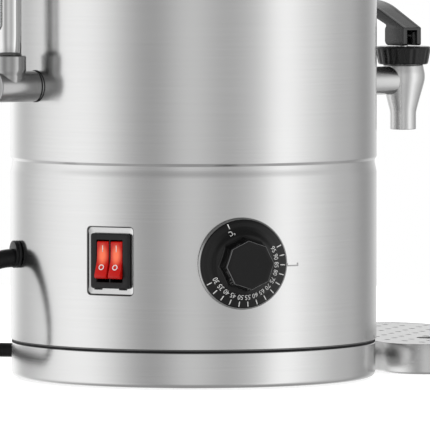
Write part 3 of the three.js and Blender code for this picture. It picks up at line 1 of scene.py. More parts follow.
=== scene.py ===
"""Hot water urn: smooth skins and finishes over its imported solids, with a stage and a camera.

Lengths are millimetres in the row frame until a piece's mesh is made. A place on the shell is
(right, up, out), as seen from outside at its azimuth, which is 0 at -Y and grows towards +X.
"""

import math

import bmesh
import bpy
import numpy as np
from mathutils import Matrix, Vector


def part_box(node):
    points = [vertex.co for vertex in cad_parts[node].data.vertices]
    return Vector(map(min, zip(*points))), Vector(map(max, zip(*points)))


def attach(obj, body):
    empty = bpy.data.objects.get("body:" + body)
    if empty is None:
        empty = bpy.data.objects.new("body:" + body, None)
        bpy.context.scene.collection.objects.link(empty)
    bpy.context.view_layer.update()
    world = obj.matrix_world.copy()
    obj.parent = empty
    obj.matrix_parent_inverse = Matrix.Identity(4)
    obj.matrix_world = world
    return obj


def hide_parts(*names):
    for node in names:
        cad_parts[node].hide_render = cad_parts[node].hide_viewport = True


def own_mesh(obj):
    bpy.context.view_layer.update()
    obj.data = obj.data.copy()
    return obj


bl_info = {
    "name": "Hot water urn",
    "version": (1, 0, 0),
    "blender": (4, 5, 0),
    "location": "View3D > Sidebar > Urn",
    "description": "Builds the visible skins, finishes and stage of a hot water urn",
    "category": "Object",
}

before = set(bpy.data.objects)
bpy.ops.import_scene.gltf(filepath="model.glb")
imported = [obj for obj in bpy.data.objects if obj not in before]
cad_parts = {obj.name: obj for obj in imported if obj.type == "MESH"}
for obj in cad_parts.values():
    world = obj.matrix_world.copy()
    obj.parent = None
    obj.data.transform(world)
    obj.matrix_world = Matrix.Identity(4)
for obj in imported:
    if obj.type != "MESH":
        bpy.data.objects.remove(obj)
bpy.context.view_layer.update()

MM = 0.001
WELD = 2e-6
SHARP = math.radians(32)
FINE_SIDES = 240
ROUND_SIDES = 72
SMALL_SIDES = 40

SHELL_BOX = np.array([list(corner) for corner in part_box("outer_shell")]) / MM
AXIS = np.append(SHELL_BOX.mean(0)[:2], 0.0)
LIFT = 1.2
SHELL_RADIUS = float(SHELL_BOX[1, 0] - SHELL_BOX[0, 0]) / 2


# Curves and outlines

def rounded(points, radius, steps=6, closed=False):
    """Turns a polyline's corners into arcs. With A and B at radius * tan(turn / 2) from the corner C,
    the arc is (u^2 A + 2 w u t C + t^2 B) / (u^2 + 2 w u t + t^2), u = 1 - t and w = cos(turn / 2)."""
    points = np.asarray(points, float)
    radius = np.broadcast_to(np.asarray(radius, float), len(points))[:, None]
    back, ahead = np.roll(points, 1, 0) - points, np.roll(points, -1, 0) - points
    near = np.linalg.norm(back, axis=1, keepdims=True) + 1e-12
    far = np.linalg.norm(ahead, axis=1, keepdims=True) + 1e-12
    back, ahead = back / near, ahead / far
    turn = np.pi - np.arccos(np.clip((back * ahead).sum(1, keepdims=True), -1, 1))
    reach = np.minimum(radius * np.tan(np.minimum(turn, 3.0) / 2), 0.48 * np.minimum(near, far))
    start, end = points + back * reach, points + ahead * reach
    t = np.linspace(0, 1, steps + 1)[None, :, None]
    weight = np.cos(turn / 2)[:, None]
    share = (1 - t) ** 2 + 2 * weight * t * (1 - t) + t ** 2
    arcs = ((1 - t) ** 2 * start[:, None] + 2 * weight * t * (1 - t) * points[:, None]
            + t ** 2 * end[:, None]) / share
    if closed:
        return arcs.reshape(-1, points.shape[1])
    inner = arcs[1:-1].reshape(-1, points.shape[1])
    return np.concatenate([points[:1], inner, points[-1:]])


def arc(centre, radius, start, end, steps=16):
    """Points of a circle's arc: centre + radius * (cos a, sin a), a from start to end in degrees."""
    angle = np.radians(np.linspace(start, end, steps + 1))
    return np.stack([centre[0] + radius * np.cos(angle), centre[1] + radius * np.sin(angle)], 1)


def circle(radius, sides=SMALL_SIDES, centre=(0.0, 0.0)):
    """A circle's points, once round from its right."""
    return arc(centre, radius, 0, 360, sides)[:-1]


def rounded_rectangle(width, height, corner, steps=6):
    """A rectangle about the origin with its four corners rounded."""
    x, y = width / 2, height / 2
    return rounded([[x, -y], [x, y], [-x, y], [-x, -y]], max(corner, 1e-3), steps, closed=True)


def smooth_line(points, per=24):
    """A centripetal Catmull-Rom curve: knots grow by the square root of each chord, and each span
    blends the four points round it by three rounds of straight interpolation."""
    points = np.asarray(points, float)
    knots = np.concatenate([[2 * points[0] - points[1]], points, [2 * points[-1] - points[-2]]])
    chord = np.maximum(np.linalg.norm(np.diff(knots, axis=0), axis=1), 1e-9) ** 0.5
    time = np.concatenate([[0], np.cumsum(chord)])
    p = [knots[k:len(knots) - 3 + k, None] for k in range(4)]
    t0, t1, t2, t3 = (time[k:len(time) - 3 + k, None, None] for k in range(4))
    t = t1 + (t2 - t1) * np.linspace(0, 1, per, endpoint=False)[None, :, None]
    a1 = ((t1 - t) * p[0] + (t - t0) * p[1]) / (t1 - t0)
    a2 = ((t2 - t) * p[1] + (t - t1) * p[2]) / (t2 - t1)
    a3 = ((t3 - t) * p[2] + (t - t2) * p[3]) / (t3 - t2)
    b1 = ((t2 - t) * a1 + (t - t0) * a2) / (t2 - t0)
    b2 = ((t3 - t) * a2 + (t - t1) * a3) / (t3 - t1)
    curve = ((t2 - t) * b1 + (t - t1) * b2) / (t2 - t1)
    return np.concatenate([curve.reshape(-1, points.shape[1]), points[-1:]])


def inset(outline, distance):
    """A closed outline moved inwards along its normals, for one that runs round to the left."""
    along = np.roll(outline, -1, 0) - np.roll(outline, 1, 0)
    along /= np.linalg.norm(along, axis=1, keepdims=True) + 1e-12
    return outline + distance * np.stack([-along[:, 1], along[:, 0]], 1)


# Places

def directions(azimuth):
    """The unit vectors right, up and out of a place on the shell."""
    turn = math.radians(azimuth)
    right = np.array([math.cos(turn), math.sin(turn), 0.0])
    return right, np.array([0.0, 0.0, 1.0]), np.array([math.sin(turn), -math.cos(turn), 0.0])


def at_station(points, azimuth, height=0.0):
    """Points (right, up, out) of a place on the shell, in the row frame."""
    basis = np.stack(directions(azimuth))
    return np.asarray(points) @ basis + AXIS + np.array([0.0, 0.0, height + LIFT])


def upright(points, reach):
    """Points made about +Z, stood up in a place's own frame at a distance from the urn's axis."""
    x, y, z = np.moveaxis(np.asarray(points), -1, 0)
    return np.stack([x, z, reach - y], -1)


def about_axis(points, lift=LIFT):
    """Points round the urn's own axis, in the row frame."""
    return np.asarray(points) + AXIS + np.array([0.0, 0.0, lift])


# Skins

def skin(points, ring=True, loop=False, caps=(False, False)):
    """Quads over a grid of rows and columns. ring joins the last column to the first, loop the last
    row to the first, and caps close the first and last rows."""
    rows, columns = points.shape[:2]
    i = np.arange(rows if loop else rows - 1)[:, None]
    j = np.arange(columns if ring else columns - 1)[None, :]
    here, there = i * columns, (i + 1) % rows * columns
    corners = [here + j, here + (j + 1) % columns, there + (j + 1) % columns, there + j]
    faces = np.stack(np.broadcast_arrays(*corners), -1).reshape(-1, 4).tolist()
    if caps[0]:
        faces.append(list(range(columns))[::-1])
    if caps[1]:
        faces.append(list(range((rows - 1) * columns, rows * columns)))
    return points.reshape(-1, 3), faces


def turned(profile, sides=ROUND_SIDES):
    """A profile of (radius, height) turned about +Z: (r cos a, r sin a, h) for a once round."""
    profile = np.asarray(profile, float)
    angle = 2 * np.pi * np.arange(sides) / sides
    radius, height = profile[:, :1], profile[:, 1:2]
    return np.stack([radius * np.cos(angle), radius * np.sin(angle), height + 0 * angle], -1)


def rod(radius, low, high, rounds, sides):
    """A solid cylinder about +Z with its lower and its upper edge rounded."""
    return turned(rounded([[0, low], [radius, low], [radius, high], [0, high]], [0, *rounds, 0]), sides)


def sleeve(inner, outer, low, high, rounds, steps, sides=56):
    """A hollow cylinder about +Z, its four edges rounded from the inner lower one on."""
    return turned(rounded([[inner, low], [outer, low], [outer, high], [inner, high]], rounds, steps,
                          closed=True), sides)


def closed_skin(points):
    """A skin over rings whose first and last ones are closed."""
    return skin(points, caps=(True, True))


def stacked(outlines, heights):
    """Outlines of equally many (x, y) points, each at its own height, as a grid."""
    heights = np.broadcast_to(np.asarray(heights, float)[:, None], (len(heights), len(outlines[0])))
    return np.concatenate([np.stack(outlines), heights[:, :, None]], -1)


def slab(outline, low, high, edge=0.4, steps=3):
    """An outline carried from low to high with both edges rounded: over a quarter turn a, the
    outline draws in by edge * (1 - sin a) while the height moves by edge * (1 - cos a)."""
    a = np.linspace(0, np.pi / 2, steps + 1)
    insets = edge * (1 - np.sin(a))
    rises = edge * (1 - np.cos(a))
    outlines = [inset(outline, d) for d in insets] + [inset(outline, d) for d in insets[::-1]]
    return stacked(outlines, np.concatenate([low + rises, high - rises[::-1]]))


def swept(path, section, up=(0.0, 0.0, 1.0)):
    """A section of (side, up) points carried along a path. side is up x forward, and the section's
    own up is forward x side, so the section never turns about the path."""
    path = np.asarray(path, float)
    forward = np.gradient(path, axis=0)
    forward /= np.linalg.norm(forward, axis=1, keepdims=True)
    side = np.cross(np.asarray(up, float), forward)
    side /= np.linalg.norm(side, axis=1, keepdims=True)
    rise = np.cross(forward, side)
    section = np.asarray(section, float)
    if section.ndim == 2:
        section = np.broadcast_to(section, (len(path),) + section.shape)
    return path[:, None] + section[..., :1] * side[:, None] + section[..., 1:] * rise[:, None]


def tube(path, radius, sides=16, up=(0.0, 0.0, 1.0)):
    """A round tube along a path, closed at both ends. The radius may be one for each point."""
    ring = circle(1.0, sides)
    radii = np.broadcast_to(np.asarray(radius, float), len(path))[:, None, None]
    return closed_skin(swept(path, ring * radii, up))


# A wall with holes: cells round each hole are left out of its grid, and rings fill the gap.

def box_reach(angle, width, height, corner):
    """How far a rounded rectangle's edge lies from its middle along each angle: at a side where the
    ray meets its straight part, or else on the corner's circle."""
    c, s = np.abs(np.cos(angle)) + 1e-9, np.abs(np.sin(angle)) + 1e-9
    x, y = width / 2, height / 2
    inner = np.array([x - corner, y - corner])
    dot = c * inner[0] + s * inner[1]
    on_arc = dot + np.sqrt(np.maximum(dot ** 2 - (inner ** 2).sum() + corner ** 2, 0))
    return np.where(s * x / c <= inner[1], x / c, np.where(c * y / s <= inner[0], y / s, on_arc))


class Hole:
    """A hole in a round wall: its azimuth, height and offset, its edge's reach along an angle, and
    its half width and half height."""

    def __init__(self, azimuth, height, reach, half, offset=0.0):
        self.azimuth, self.height, self.offset = azimuth, height, offset
        self.reach, self.half = reach, half

    def cells(self, radius, heights, columns):
        """The first and last row and column of the grid's nodes round the hole."""
        step = 360 / columns
        edges = np.degrees(np.arcsin((self.offset + np.array([-1, 1]) * (self.half[0] + 3)) / radius))
        j0, j1 = math.floor((self.azimuth + edges[0]) / step), math.ceil((self.azimuth + edges[1]) / step)
        i0 = int(np.searchsorted(heights, self.height - self.half[1] - 3)) - 1
        i1 = int(np.searchsorted(heights, self.height + self.half[1] + 3))
        return max(i0, 0), min(i1, len(heights) - 1), j0, j1

    def flat(self, points):
        """Points on the wall as (right, up) from the hole's middle."""
        right, up, _ = directions(self.azimuth)
        return np.stack([points @ right - self.offset, points @ up - self.height], -1)

    def lifted(self, flat, radius):
        """Flat places put on the wall: out = sqrt(radius^2 - right^2)."""
        right, up, out = directions(self.azimuth)
        x = flat[..., :1] + self.offset
        depth = np.sqrt(np.maximum(radius ** 2 - x ** 2, 0))
        return x * right + depth * out + (flat[..., 1:] + self.height) * up

    def at_depth(self, flat, depth):
        """Flat places at one distance out from the urn's axis."""
        right, up, out = directions(self.azimuth)
        return (flat[..., :1] + self.offset) * right + depth * out + (flat[..., 1:] + self.height) * up


def doubled(loop):
    """A closed loop with the middle of each side added."""
    return np.stack([loop, (loop + np.roll(loop, -1, 0)) / 2], 1).reshape(-1, loop.shape[1])


def widening(count, first, second):
    """Triangles between a loop of count points and one of twice as many."""
    i = np.arange(count)
    a, b = first + i, first + (i + 1) % count
    c, d, e = second + 2 * i, second + 2 * i + 1, second + (2 * i + 2) % (2 * count)
    return np.concatenate([np.stack([a, c, d], 1), np.stack([a, d, b], 1), np.stack([b, d, e], 1)]).tolist()


def pierced(radii, heights, holes, columns=FINE_SIDES):
    """A round wall's grid with its holes, and each hole's edge. Round a hole, rings run from the
    grid's own loop to the hole's edge by the blend (1 - t) * loop + t * edge at equal angles."""
    azimuth = 2 * np.pi * np.arange(columns) / columns
    radii, heights = np.asarray(radii, float)[:, None], np.asarray(heights, float)[:, None]
    points = np.stack([radii * np.sin(azimuth), -radii * np.cos(azimuth), heights + 0 * azimuth], -1)
    keep = np.ones((len(radii) - 1, columns), bool)
    parts, edges = [], []
    for hole in holes:
        radius = float(np.interp(hole.height, heights[:, 0], radii[:, 0]))
        i0, i1, j0, j1 = hole.cells(SHELL_RADIUS, heights[:, 0], columns)
        keep[i0:i1, np.arange(j0, j1) % columns] = False
        loop_i = np.concatenate([np.full(j1 - j0, i0), np.arange(i0, i1), np.full(j1 - j0, i1),
                                 np.arange(i1, i0, -1)])
        loop_j = np.concatenate([np.arange(j0, j1), np.full(i1 - i0, j1), np.arange(j1, j0, -1),
                                 np.full(i1 - i0, j0)])
        outer = points[loop_i, loop_j % columns]
        first = hole.flat(outer)
        second, third = doubled(first), doubled(doubled(first))
        angles = [np.arctan2(ring[:, 1], ring[:, 0]) for ring in (second, third)]
        rims = [hole.reach(a)[:, None] * np.stack([np.cos(a), np.sin(a)], 1) for a in angles]
        middle, inner = second + 0.4 * (rims[0] - second), third + 0.8 * (rims[1] - third)
        count = len(first)
        block = np.concatenate([outer, *(hole.lifted(ring, radius) for ring in (middle, inner, rims[1]))])
        faces = widening(count, 0, count) + widening(2 * count, count, 3 * count)
        ring = np.arange(4 * count)
        a, b = 3 * count + ring, 3 * count + (ring + 1) % (4 * count)
        faces += np.stack([a, b, b + 4 * count, a + 4 * count], 1).tolist()
        parts.append((block, faces))
        edges.append((rims[1], block[-4 * count:], angles[1]))
    grid, faces = skin(points)
    faces = np.array(faces)[keep.reshape(-1)].tolist()
    return [(grid, faces)] + parts, edges, points


# Meshes

def new_mesh(name, parts, recalculated=True):
    """One mesh from parts of (points, faces): each part is welded and turned to face out by itself."""
    whole = bmesh.new()
    for points, faces in parts:
        part = bpy.data.meshes.new(name)
        part.from_pydata((np.asarray(points) * MM).tolist(), [], faces)
        solid = bmesh.new()
        solid.from_mesh(part)
        bmesh.ops.remove_doubles(solid, verts=solid.verts, dist=WELD)
        if recalculated:
            bmesh.ops.recalc_face_normals(solid, faces=solid.faces)
        solid.to_mesh(part)
        solid.free()
        whole.from_mesh(part)
        bpy.data.meshes.remove(part)
    mesh = bpy.data.meshes.new(name)
    whole.to_mesh(mesh)
    whole.free()
    mesh.shade_smooth()
    mesh.set_sharp_from_angle(angle=SHARP)
    return mesh


def merged(parts):
    """Parts put together as one, so that they are welded where they meet."""
    points = np.concatenate([np.asarray(p).reshape(-1, 3) for p, _ in parts])
    faces, start = [], 0
    for p, f in parts:
        faces += [[start + corner for corner in face] for face in f]
        start += len(np.asarray(p).reshape(-1, 3))
    return points, faces


def piece(name, body, finish, parts, replaced=(), recalculated=True):
    """A finished piece: its mesh, its finish, the body it rides on and the nodes it stands for."""
    obj = bpy.data.objects.new(name, new_mesh(name, parts, recalculated))
    bpy.context.scene.collection.objects.link(obj)
    for material in finish if isinstance(finish, (list, tuple)) else [finish]:
        obj.data.materials.append(material)
    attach(obj, body)
    if replaced:
        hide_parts(*replaced)
    return obj


def refinish(names, finish):
    """CAD nodes that keep their shape get a finish."""
    for name in names:
        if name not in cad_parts:
            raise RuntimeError(f"no node named {name}")
        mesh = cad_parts[name].data
        mesh.materials.clear()
        mesh.materials.append(finish)


def inked(obj, depth):
    """Makes printed marks stand out by the ink's depth."""
    ink = obj.modifiers.new("Ink", "SOLIDIFY")
    ink.thickness, ink.offset = depth * MM, 1.0


def flattened(curve):
    """The points and faces that a text or a flat curve fills."""
    obj = bpy.data.objects.new("flat", curve)
    bpy.context.scene.collection.objects.link(obj)
    bpy.context.view_layer.update()
    mesh = bpy.data.meshes.new_from_object(obj.evaluated_get(bpy.context.evaluated_depsgraph_get()))
    points = np.zeros(len(mesh.vertices) * 3)
    mesh.vertices.foreach_get("co", points)
    faces = [list(face.vertices) for face in mesh.polygons]
    bpy.data.objects.remove(obj)
    bpy.data.curves.remove(curve)
    bpy.data.meshes.remove(mesh)
    return points.reshape(-1, 3), faces


def lettering(text, height, width):
    """A word's flat mesh about its middle: points and faces, scaled to a height and a width."""
    curve = bpy.data.curves.new("word", "FONT")
    curve.body, curve.resolution_u = text, 4
    points, faces = flattened(curve)
    low, high = points[:, :2].min(0), points[:, :2].max(0)
    return (points[:, :2] - (low + high) / 2) * np.array([width, height]) / (high - low), faces


# Finishes

def add(tree, kind, inputs=None, **settings):
    """A node with its settings; an input is a value, or a socket that it is linked to."""
    node = tree.nodes.new(kind)
    for key, value in settings.items():
        setattr(node, key, value)
    for key, value in (inputs or {}).items():
        if isinstance(value, bpy.types.NodeSocket):
            tree.links.new(value, node.inputs[key])
        else:
            node.inputs[key].default_value = value
    return node


def math_node(tree, operation, first, second=0.0, third=0.0, clamp=False):
    """One step of arithmetic between values that change over the surface."""
    return add(tree, "ShaderNodeMath", {0: first, 1: second, 2: third},
               operation=operation, use_clamp=clamp).outputs[0]


def new_group(name, sockets_in, sockets_out):
    """An empty shader node group with its named sockets, given as (name, type, default)."""
    tree = bpy.data.node_groups.new(name, "ShaderNodeTree")
    for label, kind, default in sockets_in:
        socket = tree.interface.new_socket(label, in_out="INPUT", socket_type=kind)
        if default is not None:
            socket.default_value = default
    for label, kind in sockets_out:
        tree.interface.new_socket(label, in_out="OUTPUT", socket_type=kind)
    return tree, tree.nodes.new("NodeGroupInput").outputs, tree.nodes.new("NodeGroupOutput")


FLOAT, COLOR, VECTOR = "NodeSocketFloat", "NodeSocketColor", "NodeSocketVector"


def swayed(tree, base, mask, amount, clamp=False):
    """A value moved by a mask: base + (mask - 0.5) * amount."""
    return math_node(tree, "MULTIPLY_ADD", math_node(tree, "SUBTRACT", mask, 0.5), amount, base, clamp)


def toned(tree, colour, mask, spread):
    """A colour made lighter and darker by a mask: colour * (1 + spread * (mask - 0.5))."""
    factor = swayed(tree, 1.0, mask, spread)
    return add(tree, "ShaderNodeVectorMath", {0: colour, 1: factor}, operation="MULTIPLY").outputs[0]


def brushed_group():
    """Brushed metal: long streaks across fine lines, with smudges in its gloss.
    The lines are noise on a position that is stretched along the brushing."""
    if "Brushed lines" in bpy.data.node_groups:
        return bpy.data.node_groups["Brushed lines"]
    tree, put, out = new_group("Brushed lines", [
        ("Vector", VECTOR, None), ("Stretch", VECTOR, (12, 12, 1500)), ("Colour", COLOR, (0.6, 0.6, 0.6, 1)),
        ("Spread", FLOAT, 0.1), ("Roughness", FLOAT, 0.2), ("Smudge", FLOAT, 0.1),
    ], [("Colour", COLOR), ("Roughness", FLOAT), ("Height", FLOAT)])
    stretched = add(tree, "ShaderNodeVectorMath", {0: put["Vector"], 1: put["Stretch"]}, operation="MULTIPLY")
    lines = add(tree, "ShaderNodeTexNoise", {"Vector": stretched.outputs[0], "Scale": 1.0, "Detail": 3.0,
                                             "Roughness": 0.65})
    smudge = add(tree, "ShaderNodeTexNoise", {"Vector": put["Vector"], "Scale": 16.0, "Detail": 4.0,
                                              "Roughness": 0.6})
    tree.links.new(toned(tree, put["Colour"], lines.outputs["Fac"], put["Spread"]), out.inputs["Colour"])
    rough = swayed(tree, put["Roughness"], smudge.outputs["Fac"], put["Smudge"])
    rough = swayed(tree, rough, lines.outputs["Fac"], put["Spread"], clamp=True)
    tree.links.new(rough, out.inputs["Roughness"])
    tree.links.new(lines.outputs["Fac"], out.inputs["Height"])
    return tree


def grain_group():
    """Moulded plastic and rubber: a fine cellular grain, a slow change of tone and a little dust.
    Height is the distance to the nearest of many scattered points."""
    if "Moulded grain" in bpy.data.node_groups:
        return bpy.data.node_groups["Moulded grain"]
    tree, put, out = new_group("Moulded grain", [
        ("Vector", VECTOR, None), ("Grain", FLOAT, 2600.0), ("Colour", COLOR, (0.02, 0.02, 0.02, 1)),
        ("Spread", FLOAT, 0.3), ("Roughness", FLOAT, 0.4), ("Smudge", FLOAT, 0.15), ("Dust", FLOAT, 0.0),
    ], [("Colour", COLOR), ("Roughness", FLOAT), ("Height", FLOAT)])
    cells = add(tree, "ShaderNodeTexVoronoi", {"Vector": put["Vector"], "Scale": put["Grain"]})
    slow = add(tree, "ShaderNodeTexNoise", {"Vector": put["Vector"], "Scale": 55.0, "Detail": 5.0,
                                            "Roughness": 0.6})
    dust = add(tree, "ShaderNodeTexNoise", {"Vector": put["Vector"], "Scale": 420.0, "Detail": 2.0})
    specks = add(tree, "ShaderNodeMapRange", {"Value": dust.outputs["Fac"], "From Min": 0.62,
                                              "From Max": 0.72})
    tone = toned(tree, put["Colour"], slow.outputs["Fac"], put["Spread"])
    dusty = add(tree, "ShaderNodeMix", {0: math_node(tree, "MULTIPLY", specks.outputs[0], put["Dust"]),
                                        6: tone, 7: (0.35, 0.34, 0.33, 1)}, data_type="RGBA")
    tree.links.new(dusty.outputs[2], out.inputs["Colour"])
    rough = swayed(tree, put["Roughness"], slow.outputs["Fac"], put["Smudge"], clamp=True)
    tree.links.new(rough, out.inputs["Roughness"])
    tree.links.new(cells.outputs["Distance"], out.inputs["Height"])
    return tree


def dressed(name, group, inputs, bump, depth, constants):
    """The material of that name. A new one has a pattern group, read at the object's own places,
    that feeds the Principled shader's colour, roughness and bump. Constants go on the shader."""
    if name in bpy.data.materials:
        return bpy.data.materials[name]
    material = bpy.data.materials.new(name)
    material.use_nodes = True
    tree = material.node_tree
    shader = tree.nodes["Principled BSDF"]
    for socket, value in constants.items():
        shader.inputs[socket].default_value = value
    place = add(tree, "ShaderNodeTexCoord").outputs["Object"]
    pattern = add(tree, "ShaderNodeGroup", {"Vector": place, **inputs}, node_tree=group).outputs
    relief = add(tree, "ShaderNodeBump", {"Strength": bump, "Distance": depth * MM,
                                          "Height": pattern["Height"]})
    tree.links.new(pattern["Colour"], shader.inputs["Base Color"])
    tree.links.new(pattern["Roughness"], shader.inputs["Roughness"])
    tree.links.new(relief.outputs[0], shader.inputs["Normal"])
    return material


def metal(name, colour, roughness, stretch=(12.0, 12.0, 1500.0), spread=0.1, smudge=0.12, bump=0.1):
    """Bare metal with brushed or turned lines."""
    return dressed(name, brushed_group(), {
        "Stretch": stretch, "Colour": (*colour, 1), "Spread": spread, "Roughness": roughness,
        "Smudge": smudge,
    }, bump, 0.02, {"Metallic": 1.0})


def moulded(name, colour, roughness, grain=2600.0, spread=0.3, smudge=0.15, dust=0.0, bump=0.15,
            depth=0.03, shine=0.5):
    """Moulded plastic, rubber or silicone. shine is its specular level."""
    return dressed(name, grain_group(), {
        "Grain": grain, "Colour": (*colour, 1), "Spread": spread, "Roughness": roughness,
        "Smudge": smudge, "Dust": dust,
    }, bump, depth, {"Specular IOR Level": shine})


def glass(name):
    """Clear glass with a faint bloom."""
    return dressed(name, grain_group(), {
        "Grain": 300.0, "Colour": (0.9, 0.94, 0.93, 1), "Spread": 0.02, "Roughness": 0.04,
        "Smudge": 0.05,
    }, 0.02, 0.01, {"Transmission Weight": 1.0, "IOR": 1.5})


def lit_rocker(name, place, azimuth, colour, glow):
    """Red translucent plastic with a lamp behind its upper half: the glow falls off with the distance
    from the lamp, in the rocker's own directions."""
    if name in bpy.data.materials:
        return bpy.data.materials[name]
    material = moulded(name, colour, 0.16, 3000.0, 0.25, 0.1, 0.0, 0.05, 0.02, 0.3)
    tree = material.node_tree
    turned_back = add(tree, "ShaderNodeMapping", {
        "Vector": add(tree, "ShaderNodeTexCoord").outputs["Object"], "Location": tuple(place * MM),
        "Rotation": (0, 0, math.radians(azimuth)), "Scale": (4.2 * MM, 30 * MM, 8.5 * MM),
    }, vector_type="TEXTURE")
    far = add(tree, "ShaderNodeVectorMath", {0: turned_back.outputs[0]}, operation="LENGTH")
    lamp = add(tree, "ShaderNodeMapRange", {"Value": far.outputs["Value"], "From Min": 1.0,
                                            "From Max": 0.15}, interpolation_type="SMOOTHSTEP")
    light = add(tree, "ShaderNodeMix", {0: lamp.outputs[0], 6: (colour[0] * 0.12, 0.0, 0.0, 1),
                                        7: (*glow, 1)}, data_type="RGBA")
    shader = tree.nodes["Principled BSDF"]
    tree.links.new(light.outputs[2], shader.inputs["Emission Color"])
    shader.inputs["Emission Strength"].default_value = 0.55
    return material


def finishes():
    """Every finish of the urn by its name, from the colours in the scene's settings."""
    colours = bpy.context.scene.urn_finishes
    steel, black = np.array(colours.steel), np.array(colours.black_plastic)
    return {
        "brushed": metal("Brushed steel", steel, colours.steel_roughness, spread=0.1, smudge=0.1),
        "cast": metal("Brushed collar steel", steel, 0.24, (300.0, 300.0, 1400.0), 0.08, 0.1, 0.08),
        "polished": metal("Polished steel", steel * 1.08, 0.09, (30.0, 30.0, 400.0), 0.04,
                          0.06, 0.04),
        "satin": metal("Satin steel", steel * 1.02, 0.25, (500.0, 500.0, 500.0), 0.08, 0.1,
                       0.06),
        "sheet": metal("Sheet steel", steel * 0.95, 0.3, (700.0, 40.0, 700.0), 0.12, 0.12,
                       0.08),
        "dark_tube": metal("Unlit tube inside", (0.03, 0.03, 0.03), 0.5, (40.0, 40.0, 600.0)),
        "dark": moulded("Matt black plastic", black, 0.42, dust=0.02, shine=0.3),
        "gloss": moulded("Gloss black plastic", black * 0.2, 0.17, 1800.0, 0.2, 0.1, 0.01,
                         0.04, 0.02, 0.36),
        # Lighter plastic on the dial grip's top edge: a painted highlight, with real high gloss.
        "painted_edge_highlight": moulded("Plastic edge lightened as painted highlight", (0.11, 0.11, 0.113), 0.2, 1800.0, 0.2, 0.1, 0.02, 0.06,
                        0.02, 0.9),
        "lever": moulded("Satin lever plastic", black, 0.27, 1800.0, 0.2, 0.1, 0.02, 0.06, 0.02, 0.8),
        "collar": moulded("Satin black plastic", black * 0.5, 0.22, 2000.0, 0.2, 0.1, 0.02,
                          0.06, 0.02, 0.34),
        "edge": metal("Turned edge", steel * 0.6, 0.15, (300.0, 300.0, 300.0), 0.06, 0.08),
        "rubber": moulded("Black rubber", (0.008, 0.008, 0.009), 0.6, 1500.0, 0.4, 0.15, 0.05, 0.3, 0.05,
                          0.2),
        "cable": moulded("Black cable sheath", colours.cable, 0.3, 1500.0, 0.3, 0.15, 0.02, 0.12, 0.03,
                         0.26),
        "silicone": moulded("White silicone", (0.72, 0.7, 0.66), 0.5, 1500.0, 0.08, 0.1, 0.0, 0.1),
        "bakelite": moulded("Cream bakelite", (0.7, 0.66, 0.56), 0.4, 1200.0, 0.1, 0.15, 0.1, 0.1),
        "fitting": metal("Plated brass", steel * 0.62, 0.22, (300.0, 300.0, 300.0), 0.08, 0.1,
                         0.05),
        # Darkened steel on the switch pocket's edge: painted shade.
        "shade": metal("Steel darkened as painted shade on the pocket's edge", steel * 0.3, 0.35, spread=0.1),
        # Darkened steel in the gap above the base ring: painted shadow.
        "recess": metal("Steel darkened as painted shadow in the seam", steel * 0.22, 0.4, spread=0.1),
        "print": moulded("White print", colours.print_colour, 0.45, 900.0, 0.06, 0.1, 0.0, 0.05),
        # Near-black for the bottom screws' slots: painted shade.
        "painted_slot_shade": moulded("Painted slot shade", (0.04, 0.04, 0.04), 0.4, 900.0, 0.1, 0.1, 0.0, 0.05),
        "grey_print": moulded("Grey print", (0.5, 0.5, 0.5), 0.4, 900.0, 0.1, 0.1, 0.0, 0.05),
        "aluminium": metal("Pressed aluminium", (0.5, 0.5, 0.51), 0.4, (60.0, 900.0, 60.0), 0.12, 0.2),
        "copper": metal("Drawn copper", (0.62, 0.3, 0.17), 0.32, (200.0, 200.0, 900.0), 0.15, 0.25),
        "glass": glass("Gauge glass"),
    }


# Settings

def length(name, description, default, low=0.0):
    """A size in metres that a user may change."""
    return bpy.props.FloatProperty(name=name, description=description, default=default, min=low,
                                   unit="LENGTH", subtype="DISTANCE", precision=4)


def colour(name, description, default):
    """A linear colour that a user may change."""
    return bpy.props.FloatVectorProperty(name=name, description=description, default=default, size=3,
                                         min=0.0, max=1.0, subtype="COLOR")


class UrnSizes(bpy.types.PropertyGroup):
    """Sizes of the urn's skins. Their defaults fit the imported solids."""
    bead_height: length("Bead height", "Height of the pressed bead above the shell's foot plane", 0.1271)
    bead_width: length("Bead width", "Width of the pressed bead", 0.0102)
    bead_depth: length("Bead depth", "How far the bead is pressed in", 0.0012)
    pocket_edge: length("Pocket edge", "Radius of the switch pocket's pressed edge", 0.0007)
    lid_rise: length("Lid rise", "Height of the lid's dome", 0.027)
    figure_height: length("Figure height", "Height of the figures on the dial", 0.0029)
    rocker_tilt: bpy.props.FloatProperty(
        name="Rocker tilt", description="How far both rockers are tipped at rest",
        default=math.radians(11), subtype="ANGLE", unit="ROTATION")
    cable_diameter: length("Cable diameter", "Diameter of the mains lead", 0.0088, 0.002)
    grille_hole: length("Grille hole", "Diameter of the grille's drain holes", 0.004, 0.001)


class UrnFinishes(bpy.types.PropertyGroup):
    """Colours and gloss of the urn's finishes."""
    steel: colour("Steel", "Colour of the stainless steel", (0.655, 0.655, 0.653))
    steel_roughness: bpy.props.FloatProperty(
        name="Steel roughness", description="Roughness of the brushed shell", default=0.19, min=0.0,
        max=1.0, subtype="FACTOR")
    black_plastic: colour("Black plastic", "Colour of the dial, lever and bezel", (0.011, 0.011, 0.0115))
    cable: colour("Cable", "Colour of the mains lead", (0.004, 0.004, 0.0045))
    rocker: colour("Rocker", "Colour of the red rockers", (0.5, 0.008, 0.005))
    glow: colour("Lamp glow", "Colour of the lamp behind the rockers", (1.0, 0.34, 0.16))
    print_colour: colour("Print", "Colour of the figures and marks", (0.85, 0.85, 0.84))


